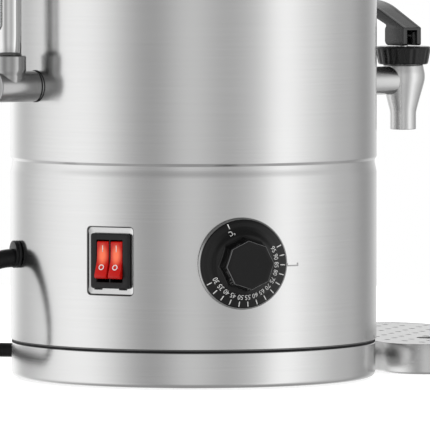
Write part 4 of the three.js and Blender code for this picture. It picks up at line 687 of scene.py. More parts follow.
class UrnStage(bpy.types.PropertyGroup):
    """The camera's place and the light."""
    camera_distance: length("Camera distance", "From the urn's axis to the camera", 4.4, 0.5)
    camera_height: length("Camera height", "Height of the camera above the table", 0.3282)
    lens: bpy.props.FloatProperty(name="Lens", description="Focal length on a 36 mm wide sensor",
                                  default=613.7, min=1.0, subtype="DISTANCE_CAMERA", unit="CAMERA")
    lamp_power: bpy.props.FloatProperty(name="Lamp power", description="Power of the large soft lamp",
                                        default=14.0, min=0.0, subtype="POWER", unit="POWER")
    sky_level: bpy.props.FloatProperty(name="Sky level", description="Even light from all round",
                                       default=0.75, min=0.0)


# Stage: soft boxes and gaps round the object, as the steel sees them by their direction.
STUDIO_WALLS = (
    (-180, 0.95), (-160, 1.2), (-135, 0.72), (-105, 1.08), (-70, 1.26), (-48, 0.84), (-27, 0.47),
    (-3, 0.78), (23, 0.58), (43, 0.9), (57, 1.34), (74, 1.12), (96, 0.76), (120, 0.58),
    (139, 0.42), (158, 0.7),
)
STUDIO_CEILING, STUDIO_FLOOR, FLOOR_LIFT = 0.26, 0.4, 0.7


def studio_world(sky_level):
    """White to the camera, even for soft light, and soft boxes by azimuth for reflections:
    azimuth = arctan2(x, -y) of the direction, blended to the ceiling as it rises."""
    world = bpy.data.worlds.new("Studio")
    world.use_nodes = True
    tree = world.node_tree
    tree.nodes.clear()
    way = add(tree, "ShaderNodeSeparateXYZ", {0: add(tree, "ShaderNodeTexCoord").outputs["Generated"]})
    x, y, z = way.outputs
    turn = math_node(tree, "ARCTAN2", x, math_node(tree, "MULTIPLY", y, -1.0))
    share = math_node(tree, "MULTIPLY_ADD", turn, 1 / (2 * math.pi), 0.5)
    ramp = add(tree, "ShaderNodeValToRGB", {0: share})
    ramp.color_ramp.interpolation = "CARDINAL"
    elements = ramp.color_ramp.elements
    elements[0].position = 0.0
    elements[1].position = 1.0
    stops = STUDIO_WALLS + ((180, STUDIO_WALLS[0][1]),)
    for azimuth, _ in stops[1:-1]:
        elements.new((azimuth + 180) / 360)
    for element, (_, level) in zip(elements, stops):
        element.color = (level / 2, level / 2, level / 2, 1)
    walls = math_node(tree, "MULTIPLY", ramp.outputs[0], 2.0)
    behind = math_node(tree, "MAXIMUM", y, 0.0)
    above = math_node(tree, "MULTIPLY_ADD", behind, -0.5, z)
    high = add(tree, "ShaderNodeMapRange", {"Value": above, "From Min": 0.15, "From Max": 0.7},
               interpolation_type="SMOOTHSTEP").outputs[0]
    low = add(tree, "ShaderNodeMapRange", {"Value": z, "From Min": -0.45, "From Max": -0.95},
              interpolation_type="SMOOTHSTEP").outputs[0]
    shine = add(tree, "ShaderNodeMix", {0: high, 2: walls, 3: STUDIO_CEILING}).outputs[0]
    shine = add(tree, "ShaderNodeMix", {0: low, 2: shine, 3: STUDIO_FLOOR}).outputs[0]
    path = add(tree, "ShaderNodeLightPath").outputs
    glossy = add(tree, "ShaderNodeMix", {0: path["Is Glossy Ray"], 2: sky_level, 3: shine}).outputs[0]
    seen = math_node(tree, "MAXIMUM", path["Is Camera Ray"], path["Is Transmission Ray"])
    level = add(tree, "ShaderNodeMix", {0: seen, 2: glossy, 3: 1.0}).outputs[0]
    back = add(tree, "ShaderNodeBackground", {"Color": (1, 1, 1, 1), "Strength": level})
    tree.links.new(back.outputs[0], add(tree, "ShaderNodeOutputWorld").inputs[0])
    return world


def floor_material():
    """A white sweep: plain matt, lifted to white for the camera so that only shadows show. Shiny
    surfaces see the studio through it."""
    material = bpy.data.materials.new("White sweep")
    material.use_nodes = True
    tree = material.node_tree
    tree.nodes.clear()
    path = add(tree, "ShaderNodeLightPath").outputs
    matt = add(tree, "ShaderNodeBsdfDiffuse", {"Color": (0.8, 0.8, 0.8, 1)})
    seen = math_node(tree, "MULTIPLY", path["Is Camera Ray"], FLOOR_LIFT)
    lift = add(tree, "ShaderNodeEmission", {"Color": (1, 1, 1, 1), "Strength": seen})
    both = add(tree, "ShaderNodeAddShader", {0: matt.outputs[0], 1: lift.outputs[0]})
    clear = add(tree, "ShaderNodeBsdfTransparent")
    floor = add(tree, "ShaderNodeMixShader", {0: path["Is Glossy Ray"], 1: both.outputs[0],
                                              2: clear.outputs[0]})
    tree.links.new(floor.outputs[0], add(tree, "ShaderNodeOutputMaterial").inputs[0])
    return material


class URN_OT_stage(bpy.types.Operator):
    """Sets the camera, the floor, the soft lamp and the studio round the urn"""
    bl_idname = "urn.stage"
    bl_label = "Stage and camera"

    AIM = (12.9, 0.0, 97.7)
    FLOOR_RADIUS = 900.0

    def execute(self, context):
        scene, stage = context.scene, context.scene.urn_stage
        scene.view_settings.view_transform = "Standard"
        scene.world = studio_world(stage.sky_level)
        camera = bpy.data.objects.new("Camera", bpy.data.cameras.new("Camera"))
        camera.data.lens, camera.data.sensor_width = stage.lens, 36
        camera.data.clip_start, camera.data.clip_end = 0.1, 50
        scene.collection.objects.link(camera)
        place = Vector(AXIS * MM) + Vector((0, -stage.camera_distance, stage.camera_height))
        target = Vector((AXIS + np.array(self.AIM)) * MM)
        camera.location = place
        camera.rotation_euler = (target - place).to_track_quat("-Z", "Y").to_euler()
        scene.camera = camera
        disc = rod(self.FLOOR_RADIUS, -4, 0, (1, 1), 64)
        floor = bpy.data.objects.new("floor", new_mesh("floor", [skin(about_axis(disc, 0.0))]))
        floor.data.materials.append(floor_material())
        scene.collection.objects.link(floor)
        lamp = bpy.data.objects.new("Soft lamp", bpy.data.lights.new("Soft lamp", "AREA"))
        lamp.data.shape, lamp.data.size, lamp.data.energy = "DISK", 1.4, stage.lamp_power
        lamp.location = Vector((-0.9, -1.0, 1.9))
        lamp.rotation_euler = (Vector((0, 0, 0.2)) - lamp.location).to_track_quat("-Z", "Y").to_euler()
        lamp.visible_glossy = False
        scene.collection.objects.link(lamp)
        return {"FINISHED"}


# Mains lead and plug. The route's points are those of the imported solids.
GLAND = GLAND_AZIMUTH, GLAND_HEIGHT = -71.5, 75.0
GLAND_RADIUS, GLAND_FACE, CAP_LOW, CAP_FACE = 8.2, 111.7, 112.0, 113.6
RELIEF_RADIUS, RELIEF_TIP, RELIEF_DROP, RELIEF_LENGTH, RELIEF_SLOPE = 5.6, 4.9, 2.2, 26.0, 45.0
LEAD_POINTS = (
    (-151, -50, 43.5), (-166, -51, 28), (-181, -46, 15.5), (-193, -34, 8), (-201, -16, 4.9),
    (-204, 8, 4.6), (-203, 36, 4.6), (-199, 66, 4.6), (-191, 98, 4.6), (-177, 130, 4.6),
    (-156, 157, 4.6), (-134, 168.5, 4.6), (-113, 167.5, 4.6), (-97, 159, 4.6), (-81, 149.3, 4.6),
    (-64.5, 139.4, 4.5), (-54.3, 135, 4.5),
)
TAIL_POINTS = ((29.8, 224, 12), (23.5, 246.5, 11.5), (5.6, 264.4, 15.5))
COIL_CENTRE, COIL_RADIUS, COIL_PITCH, COIL_TURNS, COIL_STEPS = (-26.0, 192.0), 37.0, 9.6, 4.25, 48
PLUG_PLACE = (-28.0, 271.0, 18.5)
PLUG_RADIUS, PLUG_NECK, PLUG_RELIEF, PLUG_RELIEF_LENGTH, PLUG_LENGTH = 18.5, 8.0, 5.8, 22.0, 36.0
PIN_RADIUS, PIN_LENGTH, PIN_SPACING = 2.4, 19.0, 19.0
SEAT_GAP = 0.3


def relief_line(steps=24):
    """The relief's middle line from the cap's face: its slope grows evenly along its length, as four
    straight stretches in the solid do, and the line is eased between their ends."""
    step = RELIEF_LENGTH / 4
    slopes = np.radians(RELIEF_SLOPE * (np.arange(4) + 0.5) / 4)
    ways = np.stack([0 * slopes, -np.sin(slopes), np.cos(slopes)], 1)
    start = np.array([0, -RELIEF_DROP, CAP_FACE])
    joints = np.concatenate([[start], start + np.cumsum(ways * step, 0)])
    return joints, ways[-1]


def coil_line(radius):
    """A flat coil in two layers: it winds in, climbs in the half turn where it reverses, and winds
    out. The radius is inner + pitch * |t - middle| and the climb a smoothstep of t."""
    t = np.linspace(0, COIL_TURNS, int(COIL_TURNS * COIL_STEPS) + 1)
    middle = (COIL_TURNS + 0.25) / 2
    ring = COIL_RADIUS + COIL_PITCH * np.abs(t - middle)
    climb = np.clip((t - middle + 0.25) / 0.5, 0, 1)
    angle = 2 * np.pi * (t - 0.25)
    return np.stack([COIL_CENTRE[0] + ring * np.cos(angle), COIL_CENTRE[1] + ring * np.sin(angle),
                     radius + COIL_PITCH * climb ** 2 * (3 - 2 * climb)], 1)


def cord_line(radius):
    """The whole lead: from the gland down to the table, round to the coil, and out to the plug."""
    joints, way = relief_line()
    exit_point = at_station(joints[-1] + way * SEAT_GAP, *GLAND) - AXIS
    leaving = at_station(way, GLAND_AZIMUTH) - at_station(np.zeros(3), GLAND_AZIMUTH)
    coil = coil_line(radius)
    first = coil[0] - np.array([2 * radius, 0, 0])
    last = coil[-1] + np.array([0, 2 * radius, 0])
    ahead = np.array([[2 * radius, 0, 0]])
    end = first - np.array([SEAT_GAP, 0, 0])
    lead = smooth_line(np.concatenate([[exit_point, exit_point + 2 * radius * leaving], LEAD_POINTS,
                                       end - ahead, [end]]), 14)
    start = last + np.array([0, SEAT_GAP, 0])
    plug = np.array(PLUG_PLACE) + np.array([SEAT_GAP, 0, 0])
    tail = smooth_line(np.concatenate([[start, start + np.array([0, 2 * radius, 0])], TAIL_POINTS,
                                       plug + ahead, [plug]]), 14)
    return np.concatenate([lead, coil, tail]) + AXIS


class URN_OT_cord(bpy.types.Operator):
    """Builds the mains lead with its coil, and the plug with its pins"""
    bl_idname = "urn.cord"
    bl_label = "Mains lead and plug"

    def execute(self, context):
        finish = finishes()
        radius = context.scene.urn_sizes.cable_diameter / MM / 2
        line = cord_line(radius)
        lead = piece("mains_lead", "urn", finish["cable"], [tube(line, radius, 18)],
                     ("cord_lead", "cord_coil", "cord_tail"))
        face = PLUG_RELIEF_LENGTH + PLUG_LENGTH
        grooves = np.linspace(2, PLUG_RELIEF_LENGTH - 2, 49)
        ribbed = PLUG_RELIEF + (PLUG_NECK - PLUG_RELIEF) * grooves / PLUG_RELIEF_LENGTH
        ribbed -= 0.35 * (1 - np.cos((grooves - 2) * 2 * np.pi / 3)) / 2
        profile = np.concatenate([
            rounded([[0, 0], [PLUG_RELIEF, 0], [PLUG_RELIEF + 0.1, 1.5]], [0, 0.8, 0]),
            np.stack([ribbed, grooves], 1),
            rounded([[PLUG_NECK, PLUG_RELIEF_LENGTH], [16.2, 34], [PLUG_RADIUS, 40],
                     [PLUG_RADIUS, face], [0, face]], [3, 8, 6, 2.0, 0], 8),
        ])
        place = np.array(PLUG_PLACE) + AXIS

        def lying(points):
            return np.stack([-points[..., 2], points[..., 1], points[..., 0]], -1) + place

        body = piece("plug_shell", "urn", finish["cable"],
                     [skin(lying(turned(profile, ROUND_SIDES)))], ("plug_body",))
        pins = []
        for side in (-1, 1):
            pin = rod(PIN_RADIUS, face - 3, face + PIN_LENGTH, (0, 1.6), 24)
            pins.append(skin(lying(pin + np.array([0, side * PIN_SPACING / 2, 0]))))
        metal_pins = piece("plug_pin_pair", "urn", finish["polished"], pins, ("plug_pins",))
        return {"FINISHED"}


# Shell, base and tank
SHELL_WALL, SHELL_FOOT, SHELL_TOP = 0.8, 23.0, 424.0
ROW_PITCH, BEAD_PITCH = 4.0, 0.25
BEAD_FALL, BEAD_RISE = 1.9, 8.0
DIAL = DIAL_AZIMUTH, DIAL_HEIGHT = 15.0, 73.5
SWITCH = SWITCH_AZIMUTH, SWITCH_HEIGHT = -26.7, 74.5
TAP = TAP_AZIMUTH, TAP_HEIGHT = 130.0, 174.0
TAP_REACH = 168.3
GAUGE_AZIMUTH, GAUGE_LOW, GAUGE_HIGH, GAUGE_REACH = -58.5, 176.0, 396.0, 128.0
HANDLE_AZIMUTHS, HANDLE_HEIGHT, HANDLE_SPAN = (40.0, -140.0), 386.0, 86.0
POCKET_WIDTH, POCKET_HEIGHT, POCKET_CORNER, POCKET_FLOOR = 29.7, 39.6, 2.0, 107.6
WINDOW_WIDTH, WINDOW_HEIGHT, POCKET_EDGE_ROWS = 22.2, 28.2, 5
TAP_HOLE, GAUGE_HOLE, GLAND_HOLE, SHAFT_HOLE, HANDLE_HOLE = 8.4, 6.3, 6.7, 3.6, 2.8


def round_hole(radius, azimuth, height, offset=0.0):
    """A round hole through a wall."""
    return Hole(azimuth, height, lambda a: np.full_like(a, radius), (radius, radius), offset)


def water_holes():
    """The holes that the tap and the gauge need in the shell and in the tank."""
    return [round_hole(TAP_HOLE, *TAP)] + [round_hole(GAUGE_HOLE, GAUGE_AZIMUTH, height)
                                           for height in (GAUGE_LOW, GAUGE_HIGH)]


def through(outer_edges, inner_edges):
    """The walls of holes between their outer and their inner edges."""
    return [skin(np.stack([outer[1], inner[1]])) for outer, inner in zip(outer_edges, inner_edges)]


def pocket_reach(angle, grow):
    """How far the edge of the switch pocket, grown all round, lies from its middle."""
    return box_reach(angle, POCKET_WIDTH + 2 * grow, POCKET_HEIGHT + 2 * grow, POCKET_CORNER + grow)


class URN_OT_shell(bpy.types.Operator):
    """Builds the rolled shell with its bead, its switch pocket and its holes"""
    bl_idname = "urn.shell"
    bl_label = "Outer shell"

    def execute(self, context):
        sizes, finish = context.scene.urn_sizes, finishes()
        bead, width, depth = (v / MM for v in (sizes.bead_height, sizes.bead_width, sizes.bead_depth))
        edge = sizes.pocket_edge / MM
        heights = np.unique(np.round(np.concatenate([
            np.arange(SHELL_FOOT, bead - width / 2, ROW_PITCH), [bead - width / 2 - 1],
            np.arange(bead - width / 2, bead + width / 2 + 0.1, BEAD_PITCH), [bead + width / 2 + 1],
            np.arange(bead + width / 2 + ROW_PITCH, SHELL_TOP - 2, ROW_PITCH), [SHELL_TOP]]), 3))
        fall = np.clip((bead + width / 2 - heights) / BEAD_FALL, 0, 1)
        rise = np.clip((heights - bead + width / 2) / BEAD_RISE, 0, 1)
        dip = depth * fall * (1 - np.cos(np.pi * rise)) / 2
        half = (POCKET_WIDTH / 2 + edge, POCKET_HEIGHT / 2 + edge)
        pocket = Hole(*SWITCH, lambda a: pocket_reach(a, edge), half)
        pan = Hole(*SWITCH, lambda a: pocket_reach(a, SHELL_WALL), half)
        holes = [round_hole(SHAFT_HOLE, *DIAL), round_hole(GLAND_HOLE, *GLAND), *water_holes()]
        holes += [round_hole(HANDLE_HOLE, azimuth, HANDLE_HEIGHT, side * HANDLE_SPAN / 2)
                  for azimuth in HANDLE_AZIMUTHS for side in (-1, 1)]
        inside = SHELL_RADIUS - SHELL_WALL
        outer, outer_edges, outer_grid = pierced(SHELL_RADIUS - dip, heights, [pocket] + holes)
        inner, inner_edges, inner_grid = pierced(inside - dip, heights, [pan] + holes)
        parts = outer + inner
        parts += [skin(np.stack([outer_grid[k], inner_grid[k]])) for k in (0, -1)]
        parts += through(outer_edges[1:], inner_edges[1:])
        rows = self.pocket_rows(pocket, outer_edges[0], inner_edges[0], edge)
        points, faces = merged(parts + [skin(rows[POCKET_EDGE_ROWS:])])
        # The pocket's rounded edge is its own piece, in steel darkened as painted shade.
        piece("pocket_edge", "urn", finish["shade"],
              [skin(about_axis(rows[:POCKET_EDGE_ROWS + 1]))], recalculated=False)
        piece("shell_skin", "urn", finish["brushed"], [(about_axis(points), faces)],
              ("outer_shell",))
        self.mark(finish)
        return {"FINISHED"}

    def pocket_rows(self, pocket, outer_edge, inner_edge, edge):
        """The pocket from the shell's face down a rounded edge to its floor, through the window and
        up behind to the shell's inner face, each row at the same angles."""
        angle = outer_edge[2]
        ray = np.stack([np.cos(angle), np.sin(angle)], 1)

        rows = [outer_edge[1]]
        for turn in np.linspace(0, np.pi / 2, 5)[1:]:
            grow = edge * (1 - np.sin(turn))
            lifted = pocket.lifted(pocket_reach(angle, grow)[:, None] * ray, SHELL_RADIUS)
            rows.append(lifted - edge * (1 - np.cos(turn)) * directions(SWITCH_AZIMUTH)[2])
        foot = 0.35
        for turn in np.linspace(0, np.pi / 2, 4):
            draw = foot * (1 - np.cos(turn))
            flat = pocket_reach(angle, -draw)[:, None] * ray
            rows.append(pocket.at_depth(flat, POCKET_FLOOR + foot * (1 - np.sin(turn))))
        window = box_reach(angle, WINDOW_WIDTH, WINDOW_HEIGHT, 0.4)[:, None] * ray
        rows += [pocket.at_depth(window, POCKET_FLOOR), pocket.at_depth(window, POCKET_FLOOR - SHELL_WALL)]
        back = pocket_reach(angle, SHELL_WALL)[:, None] * ray
        rows += [pocket.at_depth(back, POCKET_FLOOR - SHELL_WALL), inner_edge[1]]
        return np.stack(rows)

    def mark(self, finish):
        """The index beside the dial: a dash with a short upright, printed on the shell."""
        bars = []
        for start, end, low, high in ((29.8, 34.1, -1.1, -0.3), (29.8, 30.3, -0.9, 0.9),
                                      (33.6, 34.1, -0.9, 0.9)):
            azimuth = np.radians(np.linspace(start, end, 9))
            rows = []
            for radius, height in ((0.02, low), (0.1, low), (0.1, high), (0.02, high)):
                r = SHELL_RADIUS + radius
                rows.append(np.stack([r * np.sin(azimuth), -r * np.cos(azimuth),
                                      np.full(9, DIAL_HEIGHT - 1.2 + height)], 1))
            grid = np.stack(rows, 1)
            bars.append(closed_skin(about_axis(grid)))
        piece("dial_index_mark", "urn", finish["grey_print"], bars)


BASE_RADIUS, BASE_HEIGHT, BASE_EDGE, BASE_LIP = 109.4, 20.3, 3.4, 0.5
NECK_OUTSIDE, NECK_INSIDE, FLANGE_INSIDE, FLANGE_THICKNESS, NECK_TOP = 108.9, 107.9, 78.0, 1.0, 33.0
PAD_CIRCLE, PAD_RADIUS, SCREW_RADIUS = 86.0, 7.0, 3.0


def round_the_axis(azimuth):
    """A place on the circle that carries the pads and the bottom screws."""
    return directions(azimuth)[2] * PAD_CIRCLE


class URN_OT_base(bpy.types.Operator):
    """Builds the base ring, the bottom plate's finish, the pads and the bottom screws"""
    bl_idname = "urn.base"
    bl_label = "Base, pads and screws"

    def execute(self, context):
        finish = finishes()
        profile = rounded([
            [FLANGE_INSIDE, 0], [BASE_RADIUS, 0], [BASE_RADIUS, BASE_HEIGHT],
            [NECK_OUTSIDE, SHELL_FOOT - 1.4],
            [NECK_OUTSIDE, NECK_TOP], [NECK_INSIDE, NECK_TOP], [NECK_INSIDE, FLANGE_THICKNESS],
            [FLANGE_INSIDE, FLANGE_THICKNESS],
        ], [0.3, BASE_EDGE, BASE_LIP, 0.6, 0.2, 0.2, BASE_EDGE - 1.2, 0.3], 8, closed=True)
        piece("base_skin", "urn", finish["brushed"],
              [skin(about_axis(turned(profile, FINE_SIDES)), loop=True)], ("base_ring",))
        # Two dark bands fill the gap between the shell's foot and the base ring as painted shadow: black
        # rubber below, darkened steel above.
        for name, low, high, radius, dress in (("base_seam_shadow_band", 20.2, 22.0, 109.25, "rubber"),
                                               ("base_recess_shadow_band", 21.9, 23.3, 109.05, "recess")):
            band = sleeve(108.6, radius, low, high, [0, 0.2, 0.2, 0], 3, FINE_SIDES)
            piece(name, "urn", finish[dress], [skin(about_axis(band), loop=True)])
        for index, azimuth in enumerate((60, 180, 300), 1):
            pad = rod(PAD_RADIUS, -LIFT, -SEAT_GAP, (0.6, 0.1), SMALL_SIDES)
            piece(f"pad_{index}", "urn", finish["rubber"],
                  [skin(about_axis(pad + round_the_axis(azimuth)))], (f"foot_pad_{index}",))
        for index, azimuth in enumerate((0, 120, 240), 1):
            screw = turned(rounded([
                [0, -1.0], [SCREW_RADIUS, -1.0], [SCREW_RADIUS, -SEAT_GAP], [1.5, -SEAT_GAP],
                [1.5, 5.5], [0, 5.5],
            ], [0, 0.6, 0, 0, 0.4, 0]), 24)
            # The slot is not cut into the head: a near-black bar on its face is painted shade for the slot.
            slot = slab(rounded_rectangle(3.4, 0.7, 0.1, 2), -1.06, -0.8, 0.05, 1)
            piece(f"base_screw_{index}", "urn", [finish["satin"], finish["dark"]],
                  [skin(about_axis(screw + round_the_axis(azimuth)))], (f"bottom_screw_{index}",))
            piece(f"base_screw_slot_{index}", "urn", finish["painted_slot_shade"],
                  [closed_skin(about_axis(slot + round_the_axis(azimuth)))])
        refinish(["bottom_plate"], finish["sheet"])
        return {"FINISHED"}


TANK_RADIUS, TANK_WALL, TANK_FLOOR, TANK_CORNER = 103.0, 0.8, 157.0, 6.0
RIM_TOP, RIM_INSIDE, RIM_DROP, RIM_BEND = 425.1, 110.3, 6.0, 1.4


class URN_OT_tank(bpy.types.Operator):
    """Builds the drawn tank whose rim rolls over the shell's top edge"""
    bl_idname = "urn.tank"
    bl_label = "Inner tank"

    def execute(self, context):
        finish = finishes()
        outside = TANK_RADIUS + TANK_WALL
        heights = np.arange(164.0, 418.5, 4.0)
        outer, outer_edges, _ = pierced(np.full(len(heights), outside), heights, water_holes())
        inner, inner_edges, _ = pierced(np.full(len(heights), TANK_RADIUS), heights, water_holes())
        azimuth = 2 * np.pi * np.arange(FINE_SIDES) / FINE_SIDES

        def around(profile):
            radius, height = profile[:, :1], profile[:, 1:2] + 0 * azimuth
            return skin(np.stack([radius * np.sin(azimuth), -radius * np.cos(azimuth), height], -1))

        rim = rounded([
            [outside, heights[-1]], [outside, SHELL_TOP + SEAT_GAP], [RIM_INSIDE, SHELL_TOP + SEAT_GAP],
            [RIM_INSIDE, SHELL_TOP - RIM_DROP], [RIM_INSIDE + TANK_WALL, SHELL_TOP - RIM_DROP],
            [RIM_INSIDE + TANK_WALL, RIM_TOP], [TANK_RADIUS, RIM_TOP], [TANK_RADIUS, heights[-1]],
        ], [0, RIM_BEND, 0.2, 0.2, 0.3, 1.1, RIM_BEND + TANK_WALL, 0], 8)
        floor_out = rounded([[0, TANK_FLOOR - TANK_WALL], [outside, TANK_FLOOR - TANK_WALL],
                             [outside, heights[0]]], [0, TANK_CORNER + TANK_WALL, 0], 8)
        floor_in = rounded([[0, TANK_FLOOR], [TANK_RADIUS, TANK_FLOOR], [TANK_RADIUS, heights[0]]],
                           [0, TANK_CORNER, 0], 8)
        parts = outer + inner + [around(rim), around(floor_out), around(floor_in)]
        parts += through(outer_edges, inner_edges)
        points, faces = merged(parts)
        piece("tank_skin", "urn", finish["brushed"], [(about_axis(points), faces)],
              ("inner_tank",))
        return {"FINISHED"}


LID_RADIUS, LID_FOOT, LID_WALL, SKIRT_RADIUS, SKIRT_DEPTH = 108.0, 425.4, 0.8, 102.3, 12.0
KNOB_FOOT, KNOB_WAIST, KNOB_RADIUS, KNOB_HEIGHT, KNOB_BRIM = 12.0, 8.5, 21.0, 30.0, 9.0
STEAM_RADIUS, STEAM_CIRCLE, LID_SCREW_HOLE = 2.2, 82.0, 2.8


class URN_OT_lid(bpy.types.Operator):
    """Builds the domed lid with its skirt and steam hole, and the knob"""
    bl_idname = "urn.lid"
    bl_label = "Lid and knob"

    def execute(self, context):
        finish = finishes()
        rise = context.scene.urn_sizes.lid_rise / MM
        crown = (SKIRT_RADIUS ** 2 + rise ** 2) / (2 * rise)
        centre = LID_FOOT + LID_WALL + rise - crown
        flat = KNOB_FOOT + 2 * LID_WALL
        spot = centre + math.sqrt(crown ** 2 - flat ** 2)

        def dome(radii, sphere):
            height = np.minimum(centre + np.sqrt(sphere ** 2 - radii ** 2), spot - (crown - sphere))
            return np.stack([radii, height], 1)

        radii = np.concatenate([np.linspace(SKIRT_RADIUS, STEAM_CIRCLE + 6, 5)[:-1],
                                np.linspace(STEAM_CIRCLE + 6, STEAM_CIRCLE - 6, 7),
                                np.linspace(STEAM_CIRCLE - 6, flat, 20)[1:], [flat - 1.0, LID_SCREW_HOLE]])
        top = np.concatenate([
            rounded([[SKIRT_RADIUS, LID_FOOT], [LID_RADIUS, LID_FOOT], [LID_RADIUS, LID_FOOT + LID_WALL],
                     [SKIRT_RADIUS + 2, LID_FOOT + LID_WALL]], [0, 0.35, 0.35, 0]), dome(radii, crown)])
        under = np.concatenate([dome(np.minimum(radii, SKIRT_RADIUS - LID_WALL), crown - LID_WALL)[::-1],
                                [[SKIRT_RADIUS - LID_WALL, LID_FOOT]],
                                rounded([[SKIRT_RADIUS - LID_WALL, LID_FOOT - SKIRT_DEPTH + 1],
                                         [SKIRT_RADIUS - LID_WALL, LID_FOOT - SKIRT_DEPTH],
                                         [SKIRT_RADIUS, LID_FOOT - SKIRT_DEPTH],
                                         [SKIRT_RADIUS, LID_FOOT - SKIRT_DEPTH + 1]], [0, 0.3, 0.3, 0])])
        piece("lid_skin", "lid", finish["brushed"], self.with_steam_hole(top, under), ("lid",))
        foot = spot + SEAT_GAP
        knob = rounded([
            [0, foot], [KNOB_FOOT, foot], [KNOB_FOOT, foot + KNOB_BRIM / 3], [KNOB_WAIST, foot + KNOB_BRIM],
            [KNOB_WAIST, foot + KNOB_HEIGHT - KNOB_BRIM * 4 / 3],
            [KNOB_RADIUS, foot + KNOB_HEIGHT - KNOB_BRIM],
            [KNOB_RADIUS, foot + KNOB_HEIGHT - 5], [KNOB_RADIUS - 4, foot + KNOB_HEIGHT - 1.4],
            [0, foot + KNOB_HEIGHT],
        ], [0, 0.8, 2, 5, 5, 2.5, 2.5, 6, 0], 8)
        piece("knob_grip", "lid", finish["gloss"], [skin(about_axis(turned(knob)))], ("lid_knob",))
        refinish(["lid_knob_screw"], finish["polished"])
        return {"FINISHED"}

    def with_steam_hole(self, top, under):
        """The lid's closed profile turned once round. Where the steam hole passes, the top's and the
        under side's nodes near it are drawn onto the hole's edge, and a short wall joins the two."""
        profile = np.concatenate([top, under])
        grid = turned(profile, FINE_SIDES)
        keep = np.ones((len(profile), FINE_SIDES), bool)
        side, patches, rims = np.arange(-2, 3), [], []
        for rows in (np.arange(len(top)), np.arange(len(top), len(profile))):
            near = rows[np.abs(profile[rows, 0] - STEAM_CIRCLE) < 5.1]
            i0, i1 = int(near.min()), int(near.max())
            keep[i0:i1, side[:-1] % FINE_SIDES] = False
            loop = np.concatenate([grid[i0, side[:-1]], grid[i0:i1, 2], grid[i1, side[:0:-1]],
                                   grid[i1:i0:-1, -2]])
            middle, count = doubled(loop), len(loop)
            fine = doubled(middle)
            turn = np.arctan2(fine[:, 1], fine[:, 0] - STEAM_CIRCLE)
            x, y = STEAM_CIRCLE + STEAM_RADIUS * np.cos(turn), STEAM_RADIUS * np.sin(turn)
            order = rows[np.argsort(profile[rows, 0])]
            height = np.interp(np.hypot(x, y), profile[order, 0], profile[order, 1])
            rim = np.stack([x, y, height], 1)
            block = np.concatenate([loop, (middle + rim[::2]) / 2, rim])
            patches.append((block, widening(count, 0, count) + widening(2 * count, count, 3 * count)))
            rims.append(rim[np.argsort(turn)])
        points, faces = skin(grid, loop=True)
        faces = np.array(faces).reshape(len(profile), FINE_SIDES, 4)[keep].tolist()
        points, faces = merged([(points, faces), *patches, skin(np.stack(rims))])
        return [(about_axis(points), faces)]


# Dial
DIAL_BACK, DIAL_RADIUS = 110.8, 27.0
GRIP_FOOT, GRIP_FOOT_HEIGHT, GRIP_TOP, GRIP_HEIGHT, GRIP_CORNERS, GRIP_TURN = 16.0, 6.2, 14.6, 18.0, 8, 4.0
SKIRT_PROFILE = ((27.0, 0.9), (25.6, 2.3), (24.2, 2.7), (22.0, 3.1), (19.5, 4.0), (17.4, 5.4))
SKIRT_ROUNDS = (0, 1.2, 1.0, 4, 8, 0)
DIAL_FIGURES = tuple(zip(range(30, 100, 5), (208.6, 223.0, 236.6, 249.8, 263.3, 276.1, 289.3, 302.8, 316.4,
                                             330.3, 344.4, 358.0, 11.7, 25.4)))
DIAL_OFF, FIGURE_PAIR = 112.6, 1.15
FIGURE_CIRCLE, TICK_LOW, TICK_HIGH, TICK_WIDTH = 19.6, 22.2, 25.3, 0.6


def octagon(radius, roundness, columns=240, sharpness=110.0, hollow=0.008):
    """An eight-cornered outline: r = A / (sum of max(0, cos(a - ak))^p)^(1/p) over the flats' normals
    ak, drawn in a little between the corners, and blended with a circle by roundness."""
    angle = 2 * np.pi * np.arange(columns) / columns
    apothem = radius * math.cos(math.pi / GRIP_CORNERS)
    normals = math.radians(GRIP_TURN) + 2 * np.pi * (np.arange(GRIP_CORNERS) + 0.5) / GRIP_CORNERS
    lean = np.maximum(np.cos(angle[:, None] - normals), 0)
    reach = apothem / (lean ** sharpness).sum(1) ** (1 / sharpness)
    across = (angle[:, None] - normals + np.pi) % (2 * np.pi) - np.pi
    across = np.min(np.abs(across), 1) / (math.pi / GRIP_CORNERS)
    reach = reach * (1 - hollow * (1 - across ** 2))
    reach = reach + (radius - reach) * roundness
    return np.stack([reach * np.cos(angle), reach * np.sin(angle)], 1)


def skirt_height(radius):
    """Height of the dial's skirt above its back at a distance from its middle."""
    r, h = rounded(SKIRT_PROFILE, SKIRT_ROUNDS, 5)[::-1].T
    return np.interp(radius, r, h)


